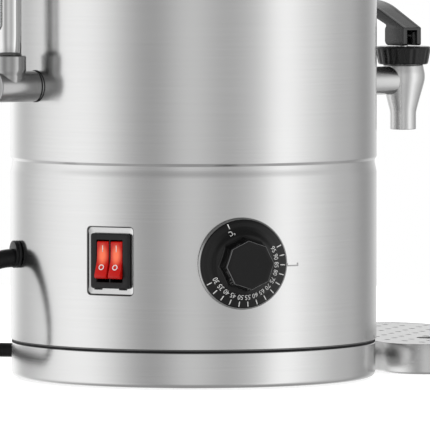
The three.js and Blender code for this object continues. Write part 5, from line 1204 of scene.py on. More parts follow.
class URN_OT_dial(bpy.types.Operator):
    """Builds the thermostat dial with its figures and marks"""
    bl_idname = "urn.dial"
    bl_label = "Thermostat dial"

    def execute(self, context):
        finish = finishes()
        rows = [(DIAL_RADIUS - 1.6, 0.0, 1), (DIAL_RADIUS - 0.3, 0.0, 1), (DIAL_RADIUS, 0.3, 1)]
        skirt = rounded(SKIRT_PROFILE, SKIRT_ROUNDS, 5)
        rows += [(r, h, 1) for r, h in skirt]
        rows += [(16.9, 5.55, 0.85), (16.3, 5.75, 0.4), (GRIP_FOOT + 0.1, 6.05, 0.12),
                 (GRIP_FOOT - 0.1, 6.5, 0.03)]
        lean = (GRIP_TOP - GRIP_FOOT) / (GRIP_HEIGHT - GRIP_FOOT_HEIGHT)
        rows += [(GRIP_FOOT - 0.15 + lean * (h - 6.7), h, 0) for h in np.linspace(6.9, 17.5, 8)]
        turn = np.linspace(0, np.pi / 2, 5)[1:]
        rows += [(GRIP_TOP - 0.15 - 0.5 * (1 - math.cos(a)), 17.5 + 0.5 * math.sin(a), 0) for a in turn]
        rows += [(GRIP_TOP * share, GRIP_HEIGHT - 0.12 * (1 - share ** 2), 0) for share in (0.8, 0.5, 0.2)]
        outlines = [octagon(radius, roundness) for radius, _, roundness in rows]
        heights = [DIAL_BACK + height for _, height, _ in rows]
        grid = stacked(outlines, heights)
        piece("dial_grip", "dial", finish["gloss"],
              [closed_skin(at_station(grid, *DIAL))], ("dial_knob",))
        height = context.scene.urn_sizes.figure_height / MM
        prints = [self.placed(*lettering(str(number), height, height * FIGURE_PAIR), angle)
                  for number, angle in DIAL_FIGURES]
        prints.append(self.placed(*lettering("°C", height, height * FIGURE_PAIR), DIAL_OFF, -1))
        prints += [self.tick(angle) for angle in [a for _, a in DIAL_FIGURES] + [DIAL_OFF]]
        marks = piece("dial_figures", "dial", finish["print"], prints, recalculated=False)
        inked(marks, 0.05)
        edge = turned(rounded([[26.2, DIAL_BACK + 0.1], [DIAL_RADIUS + 0.02, DIAL_BACK + 0.3],
                               [DIAL_RADIUS + 0.02, DIAL_BACK + 1.0], [26.1, DIAL_BACK + 1.95]],
                              [0.1, 0.2, 0.5, 0.1], 5, closed=True), FINE_SIDES)
        piece("dial_edge", "dial", finish["edge"],
              [skin(at_station(edge, *DIAL), loop=True)])
        # A band round the grip's top edge: its lighter plastic is a painted highlight, its high specular
        # level is real gloss.
        turn = np.radians([25.0, 45.0, 65.0])
        rim = [(GRIP_TOP - 0.65 + r * math.cos(a), 17.5 + r * math.sin(a))
               for r, turns in ((0.55, turn), (0.42, turn[::-1])) for a in turns]
        rim = stacked([octagon(radius, 0) for radius, _ in rim], [DIAL_BACK + height for _, height in rim])
        piece("dial_grip_edge", "dial", finish["painted_edge_highlight"],
              [skin(at_station(rim, *DIAL), loop=True)])
        refinish(["thermostat_shaft"], finish["satin"])
        return {"FINISHED"}

    def on_skirt(self, flat):
        """Places across the dial lifted onto its skirt."""
        out = DIAL_BACK + skirt_height(np.hypot(flat[:, 0], flat[:, 1])) + 0.12
        return at_station(np.concatenate([flat, out[:, None]], 1), *DIAL)

    def placed(self, points, faces, angle, outward=1):
        """A word set on the skirt at an angle, with its top outwards, or inwards for outward = -1."""
        a = math.radians(angle)
        up = outward * np.array([math.cos(a), math.sin(a)])
        right = np.array([up[1], -up[0]])
        flat = points[:, :1] * right + points[:, 1:] * up + outward * up * FIGURE_CIRCLE
        return self.on_skirt(flat), faces

    def tick(self, angle):
        """A short radial line on the skirt."""
        a = math.radians(angle)
        along, across = np.array([math.cos(a), math.sin(a)]), np.array([-math.sin(a), math.cos(a)])
        reach = np.linspace(TICK_LOW, TICK_HIGH, 4)[:, None]
        grid = np.stack([along * reach + across * side * TICK_WIDTH / 2 for side in (-1, 1)], 1)
        _, faces = skin(grid[..., [0, 1, 1]], ring=False)
        return self.on_skirt(grid.reshape(-1, 2)), [face[::-1] for face in faces]


# Switch
BEZEL_WIDTH, BEZEL_HEIGHT, BEZEL_CORNER, BEZEL_EDGE = 25.2, 32.4, 1.5, 0.8
BEZEL_BACK, BEZEL_FACE = 107.9, 110.1
BODY_WIDTH, BODY_HEIGHT, BODY_BACK = 21.6, 27.6, 83.9
MOUTH_WIDTH, MOUTH_HEIGHT, WELL_FLOOR, PARTITION = 17.3, 25.0, 97.2, 0.7
ROCKER_WIDTH, ROCKER_LENGTH, ROCKER_SPACING = 7.7, 22.3, 9.0
ROCKER_PIVOT, ROCKER_CROWN, ROCKER_DIP, ROCKER_SKIRT, ROCKER_HUB = 106.9, 5.3, 2.1, 4.6, 4.6
BLADE_WIDTH, BLADE_THICKNESS, BLADE_LENGTH = 4.8, 0.8, 8.0


class URN_OT_switch(bpy.types.Operator):
    """Builds the switch housing and its two lit rockers with their marks"""
    bl_idname = "urn.switch"
    bl_label = "Rocker switches"

    def execute(self, context):
        finish, colours = finishes(), context.scene.urn_finishes
        self.housing(finish)
        tilt = context.scene.urn_sizes.rocker_tilt
        for name, side in (("left", -1), ("right", 1)):
            lamp = self.tilted(np.array([[side * ROCKER_SPACING / 2, 3.0, 2.6]]), tilt)
            place = at_station(lamp, *SWITCH)[0]
            red = lit_rocker(f"Lit red plastic {name}", place, SWITCH_AZIMUTH, colours.rocker,
                             colours.glow)
            self.rocker(name, side, tilt, red, finish)
        return {"FINISHED"}

    def housing(self, finish):
        """Rounded rectangles in rows: up the body, over the bezel's rounded edge, and down the well."""
        rows = [(BODY_WIDTH, BODY_HEIGHT, 0.8, BODY_BACK), (BODY_WIDTH, BODY_HEIGHT, 0.8, BEZEL_BACK),
                (BEZEL_WIDTH - 0.4, BEZEL_HEIGHT - 0.4, BEZEL_CORNER, BEZEL_BACK),
                (BEZEL_WIDTH, BEZEL_HEIGHT, BEZEL_CORNER, BEZEL_BACK + 0.2)]
        for a in np.linspace(0, np.pi / 2, 6):
            draw = 2 * BEZEL_EDGE * (1 - math.cos(a))
            rows.append((BEZEL_WIDTH - draw, BEZEL_HEIGHT - draw, BEZEL_CORNER,
                         BEZEL_FACE - BEZEL_EDGE * (1 - math.sin(a))))
        for a in np.linspace(0, np.pi / 2, 4):
            grow = 0.5 * (1 - math.sin(a))
            rows.append((MOUTH_WIDTH + grow, MOUTH_HEIGHT + grow, 0.6, BEZEL_FACE - 0.25 * (1 - math.cos(a))))
        rows.append((MOUTH_WIDTH, MOUTH_HEIGHT, 0.6, WELL_FLOOR))
        grid = stacked([rounded_rectangle(w, h, c) for w, h, c, _ in rows], [z for *_, z in rows])
        bar = slab(rounded_rectangle(PARTITION, MOUTH_HEIGHT + 0.6, 0.15, 2), WELL_FLOOR - 0.5,
                   BEZEL_FACE - 0.4, 0.15)
        parts = [closed_skin(grid), closed_skin(bar)]
        for x in (-8.6, 7.8):
            tab = slab(rounded_rectangle(4.4, 2.2, 0.4, 3), BEZEL_BACK, BEZEL_BACK + 1.0, 0.3)
            parts.append(closed_skin(tab + np.array([x, -BEZEL_HEIGHT / 2 + 0.2, 0])))
        for x in (-ROCKER_SPACING / 2, ROCKER_SPACING / 2):
            for y in (-BODY_HEIGHT / 4, BODY_HEIGHT / 4):
                blade = slab(rounded_rectangle(BLADE_WIDTH, BLADE_THICKNESS, 0.2, 2),
                             BODY_BACK - BLADE_LENGTH, BODY_BACK + 0.5, 0.2)
                parts.append(closed_skin(blade + np.array([x, y, 0])))
        parts = [(at_station(points, *SWITCH), faces) for points, faces in parts]
        piece("switch_bezel", "urn", finish["dark"], parts, ("switch_housing",))

    def tilted(self, points, tilt):
        """Points of a rocker, about its pivot, tipped so that its top goes in."""
        x, y, z = np.moveaxis(points, -1, 0)
        c, s = math.cos(tilt), math.sin(tilt)
        return np.stack([x, y * c + z * s, z * c - y * s + ROCKER_PIVOT], -1)

    def face_height(self, y):
        """The rocker's hollow face: its crown, less the dip where its two halves meet, eased there."""
        half = ROCKER_LENGTH / 2
        return ROCKER_CROWN - ROCKER_DIP * (1 - np.sqrt((y / half) ** 2 + 0.02))

    def rocker(self, name, side, tilt, red, finish):
        half = ROCKER_LENGTH / 2
        y = np.linspace(half, -half, 25)
        face = np.stack([y, self.face_height(y)], 1)
        ends = rounded([face[-5], face[-1], [-half + 0.2, ROCKER_CROWN - ROCKER_SKIRT], [-ROCKER_HUB - 1, 0]],
                       [0, 2.2, 0.9, 0], 6)[1:]
        other = rounded([[ROCKER_HUB + 1, 0], [half - 0.2, ROCKER_CROWN - ROCKER_SKIRT], face[0], face[4]],
                        [0, 0.9, 1.2, 0], 6)[:-1]
        outline = np.concatenate([face[4:-4], ends, arc((0, 0), ROCKER_HUB, 190, 350, 14), other])
        grid = slab(outline, -ROCKER_WIDTH / 2, ROCKER_WIDTH / 2, 0.45, 3)
        solid = np.stack([grid[..., 2] + side * ROCKER_SPACING / 2, grid[..., 0], grid[..., 1]], -1)
        pin = rod(1.1, -ROCKER_WIDTH / 2 - 0.5, ROCKER_WIDTH / 2 + 0.5, (0.2, 0.2), 16)
        pin = np.stack([pin[..., 2] + side * ROCKER_SPACING / 2, pin[..., 0], pin[..., 1]], -1)
        parts = [closed_skin(solid), skin(pin)]
        parts = [(at_station(self.tilted(points, tilt), *SWITCH), faces)
                 for points, faces in parts]
        piece(f"rocker_{name}_cap", f"rocker_{name}", red, parts, (f"rocker_{name}",))
        stroke = np.array([[-0.24, 4.6], [0.24, 4.6], [0.24, 8.4], [-0.24, 8.4]])
        stroke = np.stack([stroke[[0, 1]], stroke[[3, 2]]])
        outer, inner = circle(1.7, 36, (0, -4.5)), circle(1.15, 36, (0, -4.5))
        ring = np.stack([inner, outer])
        marks = []
        for flat, closed in ((stroke, False), (ring, True)):
            grid = np.stack([flat[..., 0] + side * ROCKER_SPACING / 2, flat[..., 1],
                             self.face_height(flat[..., 1]) + 0.03], -1)
            points, faces = skin(grid, ring=closed)
            if closed:
                faces = [face[::-1] for face in faces]
            marks.append((at_station(self.tilted(points, tilt), *SWITCH), faces))
        ink = piece(f"rocker_{name}_marks", f"rocker_{name}", finish["print"], marks,
                    recalculated=False)
        inked(ink, 0.04)


class URN_OT_gland(bpy.types.Operator):
    """Builds the cord gland's body, and its cap with the bent strain relief"""
    bl_idname = "urn.gland"
    bl_label = "Cord gland"

    def execute(self, context):
        finish = finishes()
        body = turned(rounded([[4.7, 100], [6.4, 100], [6.4, 110.3], [GLAND_RADIUS, 110.3],
                               [GLAND_RADIUS, GLAND_FACE], [4.7, GLAND_FACE]], [0.1, 0.4, 0, 0.3, 0.3, 0.1],
                              4, closed=True), 64)
        piece("gland_flange", "urn", finish["dark"],
              [skin(at_station(body, *GLAND), loop=True)], ("gland_body",))
        disc = rod(GLAND_RADIUS, CAP_LOW, CAP_FACE, (0.2, 0.5), 64)
        joints, _ = relief_line()
        path = smooth_line(np.concatenate([[[0, -RELIEF_DROP, CAP_LOW + 0.4]], joints]), 10)
        share = np.clip((np.arange(len(path)) - 10) / (len(path) - 11), 0, 1)
        radius = RELIEF_RADIUS + (RELIEF_TIP - RELIEF_RADIUS) * share
        radius[-1] -= 0.25
        relief = swept(path, circle(1.0, 40)[None] * radius[:, None, None], up=(0, 1, 0))
        piece("gland_relief", "urn", finish["cable"],
              [skin(at_station(disc, *GLAND)), closed_skin(at_station(relief, *GLAND))],
              ("gland_cap",))
        refinish(["gland_nut"], finish["dark"])
        return {"FINISHED"}


# Tap. Its heights are the urn's own.
SPOUT_END, SPOUT_TOP, CONE_TOP, BELLY_HEIGHT = 143.7, 154.5, 163.8, 175.7
NECK_HEIGHT, THREAD_TOP = 183.5, 188.7
SPOUT_RADIUS, SPOUT_BORE, CONE_RADIUS, BELLY_RADIUS = 8.0, 5.6, 10.5, 13.9
NECK_RADIUS, THREAD_RADIUS = 12.3, 11.6
CHAMBER_RADIUS, VALVE_SEAT, PIPE_RADIUS = 9.8, 167.0, 8.7
COLLAR_FOOT, COLLAR_TOP, COLLAR_FOOT_RADIUS, COLLAR_TOP_RADIUS = 183.8, 194.8, 15.25, 16.9
FLUTES, FLUTE_DEPTH = 18, 0.45
LEVER_FLOOR, LEVER_PIN, LEVER_TOP, LEVER_WIDTH, LEVER_END, LEVER_FACE = 195.4, 201.2, 206.3, 14.8, 8.5, 8.2
ARM_THICKNESS, ARM_LENGTH, ARM_RISE, SLOT_HALF, SLOT_END = 6.4, 55.0, 25.5, 4.0, 6.5
ARM_FLARE, FLARE_LENGTH, ARM_KNEE, TIP_RISE = 0.55, 32.0, 22.0, 22.0
SPRING_RADIUS, SPRING_WIRE, SPRING_TURNS, VALVE_LIFT = 6.6, 0.55, 5, 2.4


class URN_OT_tap(bpy.types.Operator):
    """Builds the tap: body, gasket, fluted collar, stem, lever and its pin"""
    bl_idname = "urn.tap"
    bl_label = "Self-closing tap"

    def placed(self, points):
        return at_station(upright(points, TAP_REACH), TAP_AZIMUTH)

    def execute(self, context):
        finish = finishes()
        body = rounded([
            [SPOUT_BORE, SPOUT_END], [SPOUT_RADIUS, SPOUT_END], [SPOUT_RADIUS, SPOUT_TOP],
            [CONE_RADIUS, CONE_TOP],
            [BELLY_RADIUS, BELLY_HEIGHT], [NECK_RADIUS, NECK_HEIGHT], [THREAD_RADIUS, NECK_HEIGHT],
            [THREAD_RADIUS, THREAD_TOP], [CHAMBER_RADIUS, THREAD_TOP], [CHAMBER_RADIUS, VALVE_SEAT],
            [SPOUT_BORE, VALVE_SEAT],
        ], [0.4, 0.6, 12.0, 60.0, 40.0, 0.4, 0.1, 0.3, 0.3, 0.3, 0.3], 12, closed=True)
        parts = [skin(self.placed(turned(body, ROUND_SIDES)), loop=True)]
        pipe = rounded([[5, 94], [8, 94], [8, 112.1], [13, 112.1], [13, 114.6], [PIPE_RADIUS, 114.6],
                        [PIPE_RADIUS, 158], [5, 158]], [0.1, 0.3, 0, 0.3, 0.6, 0.8, 0, 0], 6, closed=True)
        parts.append(skin(at_station(turned(pipe, 56), *TAP), loop=True))
        piece("tap_casting", "urn", finish["satin"], parts, ("tap_body",))
        gasket = sleeve(8.3, 13, 110.3, 111.8, [0.1, 0.5, 0.5, 0.1], 4)
        piece("tap_washer", "urn", finish["rubber"],
              [skin(at_station(gasket, *TAP), loop=True)], ("tap_gasket",))
        self.collar(finish)
        stem = rounded([[0, 168.9], [2.1, 168.9], [2.1, 171.6], [6.4, 171.6], [6.4, 173.1], [3, 173.1],
                        [3, LEVER_PIN + 3], [0, LEVER_PIN + 3]], [0, 0.2, 0, 0.3, 0.3, 0, 2.9, 0], 6)
        piece("tap_stem_rod", "tap_stem", finish["satin"], [skin(self.placed(turned(stem, 32)))],
              ("tap_stem",))
        self.lever(finish)
        refinish(["tap_nut"], finish["satin"])
        refinish(["tap_seat_cup"], finish["silicone"])
        self.spring(finish)
        return {"FINISHED"}

    def spring(self, finish):
        """The valve's spring: a wire of radius w along (R cos t, R sin t, z rising evenly with t)."""
        (left, front, low), (right, back, high) = np.array(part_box("tap_spring")) / MM
        middle = np.array([(left + right) / 2, (front + back) / 2])
        angle = np.linspace(0, 2 * np.pi * SPRING_TURNS, SPRING_TURNS * 24 + 1)
        rise = np.linspace(low + SPRING_WIRE, high - SPRING_WIRE, len(angle))
        path = np.stack([middle[0] + SPRING_RADIUS * np.cos(angle), middle[1] + SPRING_RADIUS * np.sin(angle),
                         rise], 1)
        wound = piece("tap_wound_spring", "urn", finish["polished"], [tube(path, SPRING_WIRE, 10)],
                      ("tap_spring",))
        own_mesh(wound)

    def collar(self, finish):
        """Rings of r = R - depth * (1 + cos(flutes * a)) / 2, plain at the top, then down the bore."""
        columns = FLUTES * 12
        angle = 2 * np.pi * np.arange(columns) / columns
        brim = (COLLAR_TOP - COLLAR_FOOT) / 5
        wave = ((1 + np.cos(FLUTES * angle)) / 2) ** 2
        rows = [(COLLAR_FOOT_RADIUS - 0.5, COLLAR_FOOT, 0.0), (COLLAR_FOOT_RADIUS, COLLAR_FOOT + 0.5, 0.1),
                (COLLAR_FOOT_RADIUS + 0.1, COLLAR_FOOT + 1.0, 0.8)]
        for t in np.linspace(0.15, 1, 6):
            rows.append((COLLAR_FOOT_RADIUS + (COLLAR_TOP_RADIUS - COLLAR_FOOT_RADIUS) * t,
                         COLLAR_FOOT + (COLLAR_TOP - brim - COLLAR_FOOT) * t, 1.0))
        rows += [(COLLAR_TOP_RADIUS, COLLAR_TOP - brim * 0.75, 0.55),
                 (COLLAR_TOP_RADIUS, COLLAR_TOP - brim / 2, 0.0)]
        for a in np.linspace(0, np.pi / 2, 5)[1:]:
            rows.append((COLLAR_TOP_RADIUS - brim / 2 * (1 - math.cos(a)),
                         COLLAR_TOP - brim / 2 * (1 - math.sin(a)), 0.0))
        rows += [(3.5, COLLAR_TOP, 0), (3.3, COLLAR_TOP - 0.2, 0), (3.3, COLLAR_TOP - 4.6, 0),
                 (11.9, COLLAR_TOP - 4.6, 0), (11.9, COLLAR_FOOT + 0.3, 0), (12.2, COLLAR_FOOT, 0)]
        ray = np.stack([np.cos(angle), np.sin(angle)], 1)
        rings = stacked([(r - FLUTE_DEPTH * w * wave)[:, None] * ray for r, _, w in rows],
                        [h for _, h, _ in rows])
        piece("tap_fluted_collar", "urn", finish["collar"], [skin(self.placed(rings), loop=True)],
              ("tap_collar",))

    def lever(self, finish):
        """Two cheeks with the lever's whole side view, and between them that view less the slot."""
        rise = math.radians(TIP_RISE)
        c, s, half = math.cos(rise), math.sin(rise), ARM_THICKNESS / 2
        reach = ARM_LENGTH - half
        tip = np.array([c * reach, LEVER_PIN + s * reach])
        lower, upper = tip + half * np.array([s, -c]), tip + half * np.array([-s, c])
        beyond = half * np.array([c, s])
        side, knee, bend = LEVER_FACE + 0.6, ARM_KNEE, math.tan(math.radians(ARM_RISE))
        knee_top = LEVER_TOP + (knee + LEVER_END) * bend
        drop = ARM_THICKNESS / math.cos(math.radians(ARM_RISE)) - 1
        arm = [[side, LEVER_PIN + 4.5], [side - 1.5, LEVER_TOP + (side - 1.5 + LEVER_END) * bend - drop],
               [knee, knee_top - drop], lower + beyond, upper + beyond, [knee - 1, knee_top]]
        rounds = [2.5, 2.5, 60, 2.9, 2.9, 60]
        whole = rounded([[-LEVER_END, LEVER_FLOOR], [side, LEVER_FLOOR], *arm, [-LEVER_END, LEVER_TOP]],
                        [1.2, 3, *rounds, 0.8], 10, closed=True)
        inner = rounded([[SLOT_END, LEVER_FLOOR + 0.02], [side, LEVER_FLOOR + 0.02], *arm,
                         [-LEVER_END, LEVER_TOP], [-LEVER_END, LEVER_PIN + 3.6], [SLOT_END, LEVER_PIN + 3.6]],
                        [0.2, 1.4, *rounds, 0.8, 0.2, 0.5], 10, closed=True)

        def lying(grid):
            """The side view laid across the tap, wider towards the end of the arm."""
            along = np.clip((grid[..., 0] - LEVER_FACE) / FLARE_LENGTH, 0, 1)
            across = grid[..., 2] * (1 + ARM_FLARE * along)
            return self.placed(np.stack([grid[..., 0], across, grid[..., 1]], -1))

        parts = [closed_skin(lying(slab(whole, low, low + 3.4, 0.5, 3)))
                 for low in (-LEVER_WIDTH / 2, SLOT_HALF)]
        middle = slab(inset(inner, 0.03), -SLOT_HALF - 0.6, SLOT_HALF + 0.6, 0.05, 1)
        parts.append(closed_skin(lying(middle)))
        piece("tap_lever_handle", "tap_lever", finish["lever"], parts, ("tap_lever",))
        pin = rod(1.5, -7.1, 7.1, (0.4, 0.4), 24)
        pin = np.stack([pin[..., 0], pin[..., 2], pin[..., 1] + LEVER_PIN], -1)
        piece("lever_pivot_pin", "tap_stem", finish["polished"], [skin(self.placed(pin))],
              ("tap_lever_pin",))


# Gauge
SOCKET_RADIUS, SOCKET_RISE, SOCKET_BORE = 10.3, 18.4, 8.1
GAUGE_PIPE, GAUGE_END, GAUGE_SEAT = 9.2, 137.5, 109.4
GUARD_RADIUS, GUARD_WALL, GUARD_GRIP, SLOT_LOW, SLOT_WIDTH = 7.8, 0.8, 9.0, 209.0, 8.0
GLASS_RADIUS, GLASS_WALL, GLASS_ENDS = 6.0, 1.2, (178.8, 393.2)


class URN_OT_gauge(bpy.types.Operator):
    """Builds the level gauge: both fittings, their gaskets, the slotted guard and the glass"""
    bl_idname = "urn.gauge"
    bl_label = "Level gauge"

    def execute(self, context):
        finish = finishes()
        for place, height, way in (("lower", GAUGE_LOW, 1), ("upper", GAUGE_HIGH, -1)):
            pipe = rounded([[3.5, 94.5], [6, 94.5], [6, GAUGE_SEAT], [GAUGE_PIPE, GAUGE_SEAT],
                            [GAUGE_PIPE, GAUGE_END], [GAUGE_PIPE - 1.6, GAUGE_END],
                            [GAUGE_PIPE - 2.0, GAUGE_END - 0.5], [0, GAUGE_END - 0.5], [0, 130], [3.5, 130]],
                           [0.2, 0.4, 0.3, 0.3, 0.8, 0.3, 0.2, 0, 0, 0.5], 5, closed=True)
            socket = rounded([[0, -2], [GAUGE_PIPE - 0.8, -2], [GAUGE_PIPE - 0.05, 6.5], [SOCKET_RADIUS, 9.6],
                              [SOCKET_RADIUS, SOCKET_RISE], [SOCKET_BORE, SOCKET_RISE],
                              [SOCKET_BORE, 5], [0, 5]],
                             [0, 0.8, 6, 6, 0.7, 0.3, 0.3, 0], 6)
            stand = upright(turned(socket, 64), GAUGE_REACH)
            stand[..., 1] *= way
            parts = [skin(at_station(turned(pipe, 64), GAUGE_AZIMUTH, height)),
                     skin(at_station(stand, GAUGE_AZIMUTH, height))]
            piece(f"gauge_{place}_tee", "urn", finish["fitting"], parts, (f"gauge_{place}_fitting",))
            gasket = sleeve(6.3, 9.55, 110.1, 110.8, [0.1, 0.3, 0.3, 0.1], 4)
            piece(f"gauge_{place}_washer", "urn", finish["rubber"],
                  [skin(at_station(gasket, GAUGE_AZIMUTH, height), loop=True)],
                  (f"gauge_{place}_gasket",))
        self.guard(finish)
        glass_tube = sleeve(GLASS_RADIUS - GLASS_WALL, GLASS_RADIUS, *GLASS_ENDS, [0.4] * 4, 4)
        piece("gauge_glass_tube", "urn", finish["glass"],
              [skin(at_station(upright(glass_tube, GAUGE_REACH), GAUGE_AZIMUTH), loop=True)],
              ("gauge_glass",))
        refinish(["gauge_lower_nut", "gauge_upper_nut"], finish["satin"])
        refinish(["gauge_lower_seal", "gauge_upper_seal"], finish["rubber"])
        return {"FINISHED"}

    def guard(self, finish):
        """A tube of angles from a(z) to 2 pi - a(z), where a = asin(half slot width at z / radius)."""
        low = GAUGE_LOW + SOCKET_RISE - GUARD_GRIP
        high = GAUGE_HIGH + GAUGE_LOW - low
        slot_high, half = GAUGE_HIGH + GAUGE_LOW - SLOT_LOW, SLOT_WIDTH / 2
        end = half * (1 - np.cos(np.linspace(0, np.pi / 2, 12)))
        heights = np.concatenate([[low], [SLOT_LOW - 0.5], SLOT_LOW + end,
                                  np.linspace(SLOT_LOW + 8, slot_high - 8, 8), slot_high - end[::-1], [slot_high + 0.5], [high]])
        near = np.minimum(heights - SLOT_LOW, slot_high - heights)
        width = np.where(near <= 0, 0, np.sqrt(np.maximum(half ** 2 - np.maximum(half - near, 0) ** 2, 0)))
        opening = np.arcsin(width / GUARD_RADIUS)[:, None]
        share = np.linspace(0, 1, 65)[None]
        angle = opening + (2 * np.pi - 2 * opening) * share
        grid = np.stack([GUARD_RADIUS * np.sin(angle), heights[:, None] + 0 * angle,
                         GAUGE_REACH + GUARD_RADIUS * np.cos(angle)], -1)
        obj = piece("gauge_guard_tube", "urn", [finish["polished"], finish["dark_tube"]],
                    [skin(at_station(grid, GAUGE_AZIMUTH), ring=False)], ("gauge_guard",), recalculated=False)
        middle = at_station(np.array([0.0, (low + high) / 2, GAUGE_REACH]), GAUGE_AZIMUTH) * MM
        face = obj.data.polygons[0]
        if face.normal.dot(face.center - Vector((middle[0], middle[1], face.center.z))) < 0:
            obj.data.flip_normals()
        wall = obj.modifiers.new("Wall", "SOLIDIFY")
        wall.thickness, wall.offset, wall.material_offset = GUARD_WALL * MM, -1.0, 1


HANDLE_SEAT, HANDLE_REACH, HANDLE_BEND, HANDLE_HALF_THICK, HANDLE_HALF_DEEP = 105.23, 34.0, 14.0, 6.0, 8.0
FOOT_RADIUS, FOOT_THICKNESS = 10.0, 3.0


class URN_OT_handles(bpy.types.Operator):
    """Builds the two moulded side handles on their feet"""
    bl_idname = "urn.handles"
    bl_label = "Side handles"

    def execute(self, context):
        finish = finishes()
        half, reach = HANDLE_SPAN / 2, HANDLE_SEAT + HANDLE_REACH
        path = rounded([[half, 0, HANDLE_SEAT - 2], [half, 0, reach], [-half, 0, reach],
                        [-half, 0, HANDLE_SEAT - 2]], [0, HANDLE_BEND, HANDLE_BEND, 0], 14)
        path = np.concatenate([path[:1], path[:1] * 0.5 + path[1:2] * 0.5, path[1:-1],
                               path[-1:] * 0.5 + path[-2:-1] * 0.5, path[-1:]])
        angle = 2 * np.pi * np.arange(36) / 36
        power = 0.8
        section = np.stack([
            HANDLE_HALF_THICK * np.sign(np.cos(angle)) * np.abs(np.cos(angle)) ** power,
            HANDLE_HALF_DEEP * np.sign(np.sin(angle)) * np.abs(np.sin(angle)) ** power], 1)
        section[:, 0] = np.clip(section[:, 0], -HANDLE_HALF_THICK, HANDLE_HALF_THICK)
        bail = swept(path, section, up=(0, 1, 0))
        for index, azimuth in enumerate(HANDLE_AZIMUTHS, 1):
            parts = [closed_skin(at_station(bail, azimuth, HANDLE_HEIGHT))]
            for side in (-1, 1):
                parts.append(self.foot(side * half, azimuth))
                bolt = rod(2.5, 97, HANDLE_SEAT, (0.3, 0), 20)
                parts.append(skin(at_station(bolt + np.array([side * half, 0, 0]), azimuth, HANDLE_HEIGHT)))
            piece(f"handle_grip_{index}", "urn", finish["gloss"], parts, (f"handle_{index}",))
        return {"FINISHED"}

    def foot(self, x, azimuth):
        """A round foot whose seat follows the shell: out = sqrt(R^2 - right^2) along its lower edge."""
        top, rings = HANDLE_SEAT + FOOT_THICKNESS, []
        for radius, out in ((0.0, None), (FOOT_RADIUS - 0.3, None), (FOOT_RADIUS, top - 1.4),
                            (FOOT_RADIUS - 0.4, top - 0.4), (FOOT_RADIUS - 1.4, top), (0.0, top)):
            ring = circle(radius, 48, (x, 0.0))
            if out is None:
                out = np.sqrt((SHELL_RADIUS + SEAT_GAP) ** 2 - ring[:, 0] ** 2)
            rings.append(np.column_stack([ring, np.broadcast_to(out, 48)]))
        return skin(at_station(np.stack(rings), azimuth, HANDLE_HEIGHT))


# Drip tray and grille, in the tray's own frame: u away from the urn, v across.
TRAY_TURN, TRAY_INNER, TRAY_OUTER, TRAY_HALF, TRAY_CORNER, TRAY_HEIGHT = 42.0, 122.0, 247.0, 87.0, 27.0, 18.5
TRAY_WALL, TRAY_EDGE = 1.2, 2.0
GRILLE_THICKNESS, GRILLE_RECESS, GRILLE_PITCH, GRILLE_MARGIN = 1.0, 0.3, 15.4, 9.0
FINGER_RADIUS, FINGER_REACH, FINGER_OFFSET, GRILLE_FOOT, GRILLE_FOOT_INSET = 9.0, 163.0, 36.5, 3.0, 24.0


def tray_place(points):
    """Points (u, v, height) of the tray in the row frame."""
    c, s = math.cos(math.radians(TRAY_TURN)), math.sin(math.radians(TRAY_TURN))
    u, v, z = np.moveaxis(np.asarray(points), -1, 0)
    return np.stack([u * c - v * s, u * s + v * c, z], -1) + AXIS


def tray_outline(drawn_in, steps=14):
    """The tray from above: two outer corners, two horns and an arc that keeps clear of the base."""
    corner, width, near = TRAY_CORNER - drawn_in, TRAY_HALF - TRAY_CORNER, TRAY_INNER + drawn_in
    reach = TRAY_OUTER - TRAY_CORNER
    horn = math.sqrt((TRAY_INNER + TRAY_CORNER) ** 2 - width ** 2)
    tangent = math.degrees(math.atan2(width, horn))
    return np.concatenate([
        arc((horn, -width), corner, 180 - tangent, 270, steps), arc((reach, -width), corner, 270, 360, steps),
        arc((reach, width), corner, 0, 90, steps), arc((horn, width), corner, 90, 180 + tangent, steps),
        arc((0, 0), near, tangent, -tangent, 2 * steps)[1:-1]])


